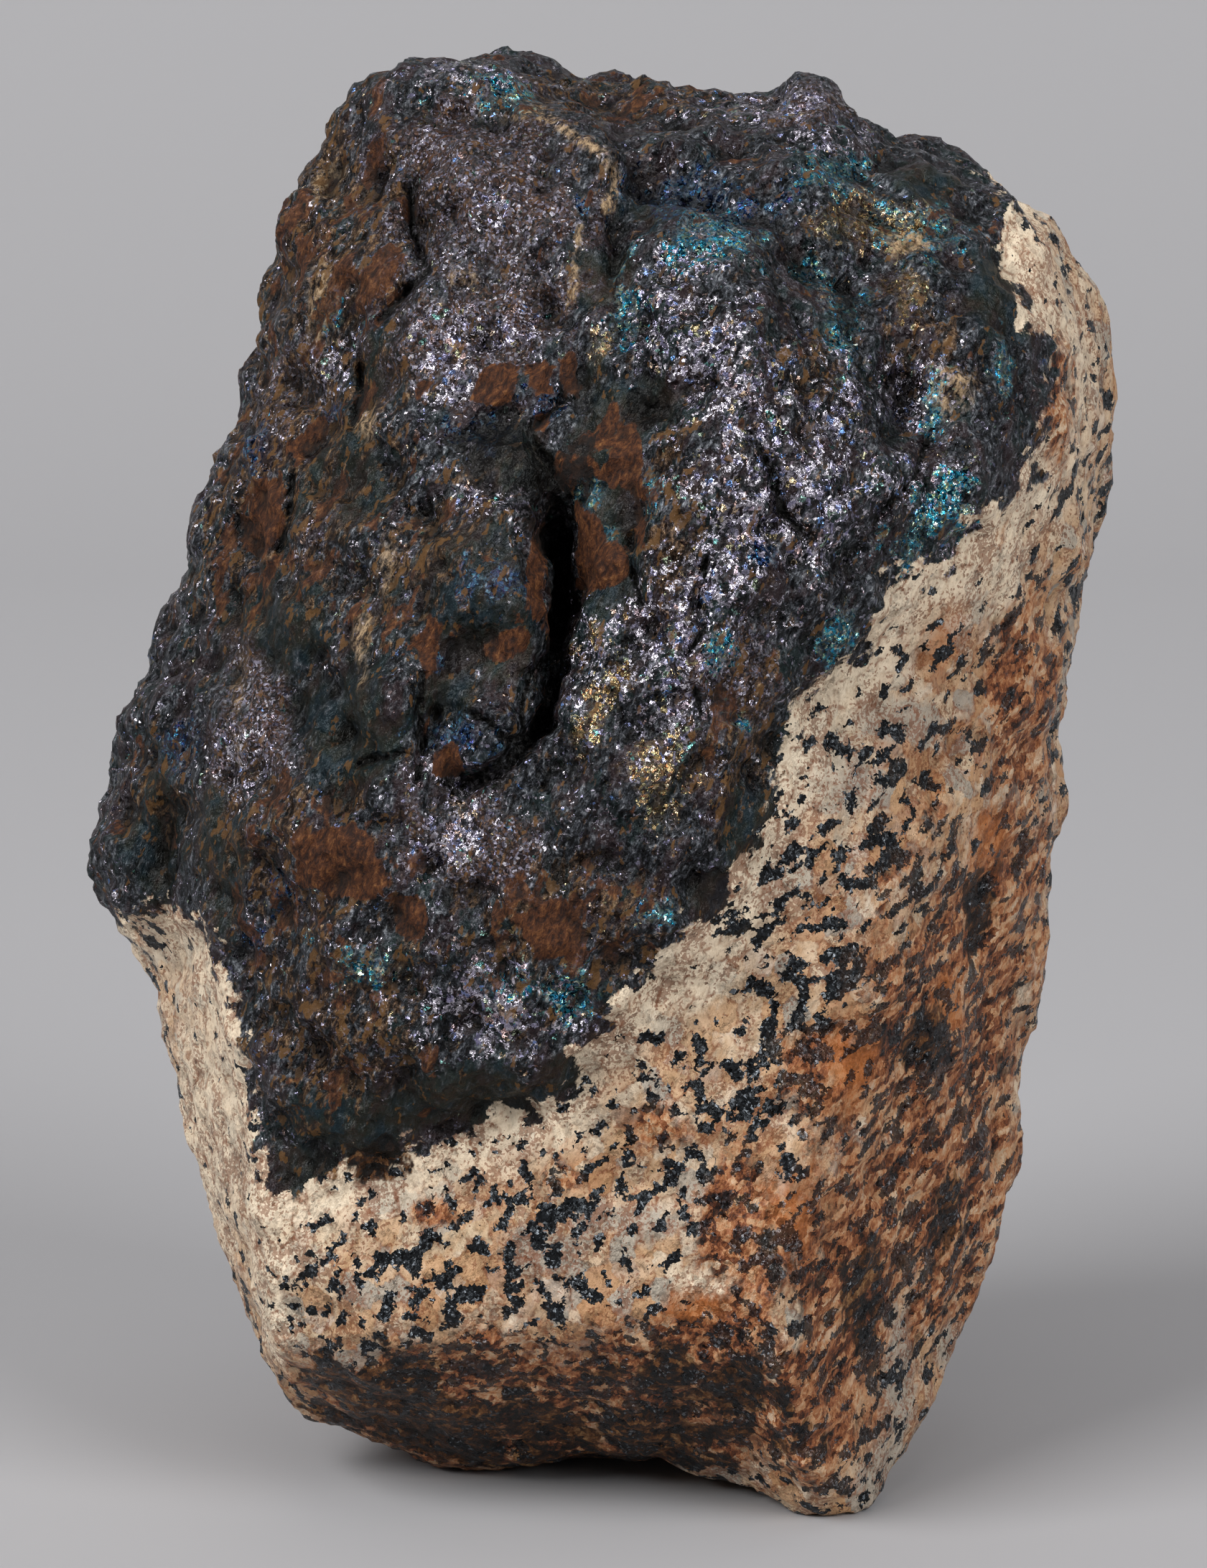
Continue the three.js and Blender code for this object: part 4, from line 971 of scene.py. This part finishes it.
on_rusty_face = patch("rusty", -0.05, 0.12, 1, broad_reach=1.0, reach=2.4)
rust_from = shifted(0.62, (dusty, -0.08), (bright, 0.06), (dull_and_painted_shade, 0.04), (by_host, 0.05))
scattered = past(mottle["middling"][0], rust_from, start=0.0, end=RUST_EASE, most=0.9)
ochre_from = shifted(0.655, (dusty, -0.08))
ochre = past(mottle["small"][2], ochre_from, start=0.0, end=RUST_EASE, most=0.8)
rust = add(rock, "ShaderNodeMath", on_rusty_face, scattered, operation="MAXIMUM")
rust_colour = add(
    rock, "ShaderNodeValToRGB", fibres,
    stops=[(0.38, "#241008"), (0.46, "#3C200F"), (0.54, "#4E2B15"), (0.62, "#643D20"), (0.74, "#855A34")],
)
ore_layers += [(clay, clay_colour), (ochre, linear("#60421F")), (rust, rust_colour)]
print("rust:", len(rock.nodes), "nodes")

# %% Lay the ore's layers, and find where bare metal is left
ore_colour = lay(slate, ore_layers)
coated = add(rock, "ShaderNodeMath", clay, rust, operation="MAXIMUM")
coated = add(rock, "ShaderNodeMath", coated, ochre, operation="MAXIMUM")
bare = add(rock, "ShaderNodeMath", 1.0, coated, operation="SUBTRACT")
metal = add(rock, "ShaderNodeMath", glint, bare, operation="MULTIPLY")
print("ore:", len(ore_layers), "layers over slate")

# %% [markdown]
# ### The host rock
#
# It is a pale feldspar rock with grey quartz and black magnetite and mica, all in grains of one to
# three millimetres. Iron has leaked out of the ore and dyed it orange and brown, grain by grain and
# along its layers, and red-brown rust fills the joints between grains. Quartz takes no dye, so the
# stains spare it.

# %% Feldspar and quartz
QUARTZ_FROM = 0.86  # the random number past which a feldspar grain is quartz

feldspar = add(
    rock, "ShaderNodeValToRGB", chance["coarse"][0],
    stops=[(0.0, "#D2BA9A"), (0.2, "#DECDB6"), (0.4, "#C89E76"), (0.55, "#D8C2A6"), (0.75, "#BC8A60"),
           (0.9, "#CEBCAA"), (1.0, "#A06A44")],
)
cloudy = {"Value": mottle["small"][0], "From Min": 0.4, "From Max": 0.64, "To Max": 0.7}
cloudy = add(rock, "ShaderNodeMapRange", cloudy)
quartz = patch("quartz", -0.2, 0.5, 0)
unmarked = shifted(1.0, (quartz, -0.8))
quartz_grain = add(rock, "ShaderNodeMath", chance["coarse"][1], QUARTZ_FROM, operation="GREATER_THAN")
quartz = add(rock, "ShaderNodeMath", quartz, quartz_grain, operation="MAXIMUM")
quartz = add(rock, "ShaderNodeMath", quartz, 0.8, operation="MULTIPLY")
host_layers = [(cloudy, linear("#B48C64")), (quartz, linear("#A8A296"))]
print("feldspar and quartz:", len(rock.nodes), "nodes")

# %% The clean rim along the ore, painted light on the left face, joints between grains and freckles of rust
rim = add(rock, "ShaderNodeMapRange", {"Value": ore_depth, "From Min": -5.0, "From Max": -1.5})
unstained = patch("clean", -0.3, 0.4, 2)
clean = add(rock, "ShaderNodeMath", unstained, rim, operation="MAXIMUM")
# Whitening: pale rock along the rim and in clean patches, and painted light on the left face.
whitening_and_painted_light = add(rock, "ShaderNodeMath", clean, 0.88, operation="MULTIPLY")
thready = {"Value": fibres, "From Min": 0.48, "From Max": 0.34, "To Max": 0.35}
thready = add(rock, "ShaderNodeMapRange", thready)
joint = {"Vector": wavering, "Scale": 1 / CRYSTAL_SIZES["coarse"]}
joint = add(rock, "ShaderNodeTexVoronoi", joint, feature="DISTANCE_TO_EDGE")
joint = add(rock, "ShaderNodeMapRange", {"Value": joint, "From Min": 0.1, "From Max": 0.02})
open_joint = {"Value": mottle["small"][2], "From Min": 0.46, "From Max": 0.6, "To Max": 0.7}
open_joint = add(rock, "ShaderNodeMapRange", open_joint)
joint = add(rock, "ShaderNodeMath", joint, open_joint, operation="MULTIPLY")
freckled = {"Value": mottle["middling"][2], "From Min": 0.46, "From Max": 0.62, "To Min": 0.03,
            "To Max": 0.75}
freckled = add(rock, "ShaderNodeMapRange", freckled)
freckle = add(rock, "ShaderNodeMath", chance["fine"][0], freckled, operation="LESS_THAN")
freckle = add(rock, "ShaderNodeMath", freckle, 0.65, operation="MULTIPLY")
host_layers += [
    (whitening_and_painted_light, linear("#EFDDC2")),
    (thready, linear("#A2805C")),
    (joint, linear("#7E4624")),
    (freckle, linear("#7C4526")),
]
print("host layers so far:", len(host_layers))

# %% [markdown]
# Water has carried iron out of the ore and down the stone. A stain is deepest along the rock's layers
# and differs from splinter to splinter, so one number for its depth is put together from streaks,
# grains, fibres and splinters, and the colours of stains and of soot are read from it.

# %% How deeply the rock takes a stain
STREAK, STREAK_SHARE = (0.4, 0.82, 0.4), 0.65  # the way that the rock's layers run
STREAK_SIZE, SPLINTER_SIZE = 2.6, 0.5  # mm

layered = drawn_out(wavering, STREAK, STREAK_SHARE)
streaks = {"Vector": layered, "Scale": 1 / STREAK_SIZE, "Detail": 5.0, "Roughness": 0.7}
streaks = add(rock, "ShaderNodeTexNoise", streaks)
splinters = {"Vector": layered, "Scale": 1 / SPLINTER_SIZE}
crystal["splinter"] = add(rock, "ShaderNodeTexVoronoi", splinters, out="Color")
chance["splinter"] = add(rock, "ShaderNodeSeparateColor", crystal["splinter"]).node.outputs
deeper = strayed(streaks, chance["coarse"][2], 0.1)
deeper = shifted(-0.105, (deeper, 0.55), (fibres, 0.45), (chance["splinter"][0], 0.2))
print("stain depth:", len(rock.nodes), "nodes")

# %% Stains and soot
stain = patch("stain", -0.5, 0.2, 1, broad_reach=1.6, reach=2.4)
spared = {"Value": deeper, "From Min": 0.64, "From Max": 0.56, "To Min": 0.5}
spared = add(rock, "ShaderNodeMapRange", spared)
for share in (spared, unmarked):
    stain = add(rock, "ShaderNodeMath", stain, share, operation="MULTIPLY")
stain_colour = add(
    rock, "ShaderNodeValToRGB", deeper,
    stops=[(0.33, "#1E110B"), (0.4, "#4E2917"), (0.46, "#824A2A"), (0.52, "#A86E46"), (0.59, "#C4966E"),
           (0.69, "#DABE9E")],
)
orange = patch("orange", -0.4, 0.8, 2)
orange = add(rock, "ShaderNodeMath", orange, 0.6, operation="MULTIPLY")
dark_brown_and_painted_shadow = patch("dark_brown_and_painted_shadow", -0.1, 0.2, 0, reach=4.0)
dark_brown_and_painted_shadow = add(rock, "ShaderNodeMath", dark_brown_and_painted_shadow, unmarked, operation="MULTIPLY")
soot = add(
    rock, "ShaderNodeValToRGB", deeper,
    stops=[(0.36, "#0C0806"), (0.46, "#22140C"), (0.53, "#44270F"), (0.6, "#6E4522"), (0.7, "#A07A50")],
)
host_layers += [(stain, stain_colour), (orange, linear("#B0662C")), (dark_brown_and_painted_shadow, soot)]
print("host layers so far:", len(host_layers))

# %% [markdown]
# Magnetite and dark mica sit in the feldspar as ragged clusters of small crystals, one to three
# millimetres long. Reading a noise at each crystal's middle makes clusters of whole crystals. They are
# fewer along the ore and in clean rock, and more in flecked zones.

# %% Black grains
BLACK_SIZE, BLACK_GRAIN = 1.1, 0.8  # mm
BLACK_FROM = 0.635  # the value past which a crystal is black
MIDDLE_SHARE = 0.5  # by which the crystals' middles are squeezed along the streaks

crystal_middle = crystal["fine"].node.outputs["Position"]
layered_middle = drawn_out(crystal_middle, STREAK, MIDDLE_SHARE)
black_field = {"Vector": layered_middle, "Scale": 1 / BLACK_SIZE, "Detail": 1.0}
black_field = add(rock, "ShaderNodeTexNoise", black_field)
black_grain = add(rock, "ShaderNodeTexVoronoi", {"Vector": layered, "Scale": 1 / BLACK_GRAIN}, out="Color")
black_grain = add(rock, "ShaderNodeSeparateColor", black_grain)
black_field = shifted(black_field, (black_grain, 0.14))
flecked = patch("flecked", -0.2, 0.6, 0)
black_from = shifted(BLACK_FROM, (rim, 0.07), (unstained, 0.12), (flecked, -0.12))
black_from = strayed(black_from, mottle["broad"][0], -0.25)
black = add(rock, "ShaderNodeMath", black_field, black_from, operation="GREATER_THAN")
black_colour = add(
    rock, "ShaderNodeValToRGB", chance["fine"][2],
    stops=[(0.0, "#101214"), (0.5, "#1C1F22"), (0.85, "#2F3337"), (1.0, "#70767C")],
)
black_share = shifted(1.0, (stain, -0.2))
black_share = add(rock, "ShaderNodeMath", black_share, black, operation="MULTIPLY")
host_layers.append((black_share, black_colour))
host_colour = lay(feldspar, host_layers)
print("host rock:", len(host_layers), "layers over feldspar")

# %% [markdown]
# ### Where the two meet
#
# The kept depth says which rock a point is in. A noise read at whole crystals moves the contact by up to
# a few millimetres, so that its edge is ragged and never cuts a crystal. Painted shade comes last, in both
# rocks: hollows and the bottoms of cracks are darkened, and in the ore the dark patches paint shadow into
# the fissure, the pits and the wedge under the block's edge.

# %% Ore or host rock
RAGGED_SIZE, RAGGED_REACH = 1.5, 6.0  # mm
CONTACT_EASE = 0.12  # mm on either side of the contact

ragged = {"Vector": layered_middle, "Scale": 1 / RAGGED_SIZE, "Detail": 2.0}
ragged = add(rock, "ShaderNodeTexNoise", ragged)
ore = strayed(ore_depth, ragged, RAGGED_REACH)
ore = add(rock, "ShaderNodeMapRange", {"Value": ore, "From Min": -CONTACT_EASE, "From Max": CONTACT_EASE})
print("contact ragged by up to", RAGGED_REACH / 2, "mm")

# %% Painted shade in hollows and cracks, and the colour of it all
hollow = add(rock, "ShaderNodeAttribute", out="Fac", attribute_name="hollow")
hollow_shade = add(rock, "ShaderNodeMapRange", {"Value": ore, "To Min": 0.3, "To Max": 0.75})
# Painted shade: points below their surroundings darken towards near black, more so in the ore.
painted_hollow_shade = {"Value": hollow, "From Min": 0.02, "From Max": 0.35, "To Max": hollow_shade}
painted_hollow_shade = add(rock, "ShaderNodeMapRange", painted_hollow_shade)
# Painted shade at the bottoms of the cracks, which are narrower than the net.
painted_crack_shade = add(rock, "ShaderNodeAttribute", out="Fac", attribute_name="from_crack")
painted_crack_shade = strayed(painted_crack_shade, mottle["small"][0], 0.9)
painted_crack_shade = {"Value": painted_crack_shade, "From Min": 0.26, "From Max": 0.12}
painted_crack_shade = add(rock, "ShaderNodeMapRange", painted_crack_shade, interpolation_type="SMOOTHSTEP")
# Painted shadow in the ore: the fissure, the pits and the wedge under the block's edge.
painted_ore_shadow = add(rock, "ShaderNodeMath", ore, dark_brown_and_painted_shadow, operation="MULTIPLY")
painted_ore_shadow = {"Value": painted_ore_shadow, "From Min": 0.35, "From Max": 0.6, "To Max": 0.85}
painted_ore_shadow = add(rock, "ShaderNodeMapRange", painted_ore_shadow)
# Painted shade of cracks and painted shadow together; no metal shows there.
closed = add(rock, "ShaderNodeMath", painted_ore_shadow, painted_crack_shade, operation="MAXIMUM")
colour = lay(host_colour, [(ore, ore_colour), (painted_hollow_shade, linear("#0C0A08")), (closed, linear("#0A0908"))])
rock.links.new(colour, surface_shader.inputs["Base Color"])
print("colour:", len(rock.nodes), "nodes")

# %% [markdown]
# Clean bornite is a metal and its crystals break smooth, so a glint is all metal with a roughness of
# 0.17. Tarnish is a thin skin over metal, so dull ore is partly metal and rougher. Clay and rust are
# earth: no metal, and very rough. Feldspar breaks with a satin face, at 0.5, and magnetite gleams.

# %% Gloss
DULL_METALLIC, DULL_ROUGHNESS = 0.4, 0.42
GLINT_ROUGHNESS, COATED_ROUGHNESS, FELDSPAR_ROUGHNESS, BLACK_ROUGHNESS = 0.17, 0.8, 0.5, 0.25
BLACK_METALLIC = 0.5

open_face = add(rock, "ShaderNodeMath", 1.0, closed, operation="SUBTRACT")
metal = add(rock, "ShaderNodeMath", metal, open_face, operation="MULTIPLY")
ore_metallic = add(rock, "ShaderNodeMix", {0: metal, 2: DULL_METALLIC, 3: 1.0}, data_type="FLOAT")
ore_metallic = add(rock, "ShaderNodeMath", ore_metallic, bare, operation="MULTIPLY")
host_metallic = add(rock, "ShaderNodeMath", black, BLACK_METALLIC, operation="MULTIPLY")
ore_roughness = {0: metal, 2: DULL_ROUGHNESS, 3: GLINT_ROUGHNESS}
ore_roughness = add(rock, "ShaderNodeMix", ore_roughness, data_type="FLOAT")
ore_roughness = {0: coated, 2: ore_roughness, 3: COATED_ROUGHNESS}
ore_roughness = add(rock, "ShaderNodeMix", ore_roughness, data_type="FLOAT")
host_roughness = {0: black, 2: FELDSPAR_ROUGHNESS, 3: BLACK_ROUGHNESS}
host_roughness = add(rock, "ShaderNodeMix", host_roughness, data_type="FLOAT")
for name, in_host, in_ore in (("Metallic", host_metallic, ore_metallic),
                              ("Roughness", host_roughness, ore_roughness)):
    both = add(rock, "ShaderNodeMix", {0: ore, 2: in_host, 3: in_ore}, data_type="FLOAT")
    rock.links.new(both, surface_shader.inputs[name])
print("gloss:", len(rock.nodes), "nodes")

# %% [markdown]
# A bump gives fibres and dust their small shadows. Then each crystal leans by its own random colour,
# which is added to the direction that the surface faces. A tilt of 1 is a lean of up to 27 degrees.

# %% Crystal faces, tilted every way
TILTS = {  # in ore, in host rock
    "coarse": (0.45, 0.35), "medium": (0.7, 0.4), "fine": (0.8, 0.5), "splinter": (0.0, 0.5),
}
BLACK_TILT = 1.1  # of the fine crystals in black grains
BUMP = 0.2  # mm

facing = add(rock, "ShaderNodeBump", {"Height": fibres, "Distance": BUMP * MM}, out="Normal")
smooth = add(rock, "ShaderNodeMath", dull_and_painted_shade, 0.7, operation="MULTIPLY")
smooth = add(rock, "ShaderNodeMath", smooth, coated, operation="MAXIMUM")
uneven = shifted(1.0, (smooth, -0.75))
for name, (ore_tilt, host_tilt) in TILTS.items():
    if name == "fine":
        host_tilt = add(rock, "ShaderNodeMix", {0: black, 2: host_tilt, 3: BLACK_TILT}, data_type="FLOAT")
    ore_tilt = add(rock, "ShaderNodeMath", uneven, ore_tilt, operation="MULTIPLY")
    tilt = add(rock, "ShaderNodeMix", {0: ore, 2: host_tilt, 3: ore_tilt}, data_type="FLOAT")
    lean = add(rock, "ShaderNodeVectorMath", crystal[name], MEAN_COLOUR, operation="SUBTRACT")
    lean = add(rock, "ShaderNodeVectorMath", {0: lean, "Scale": tilt}, operation="SCALE")
    facing = add(rock, "ShaderNodeVectorMath", facing, lean, operation="ADD")
facing = add(rock, "ShaderNodeVectorMath", facing, operation="NORMALIZE")
rock.links.new(facing, surface_shader.inputs["Normal"])
print("material:", len(rock.nodes), "nodes")

# %% Hand the piece over
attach(stone, "root")
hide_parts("stone")
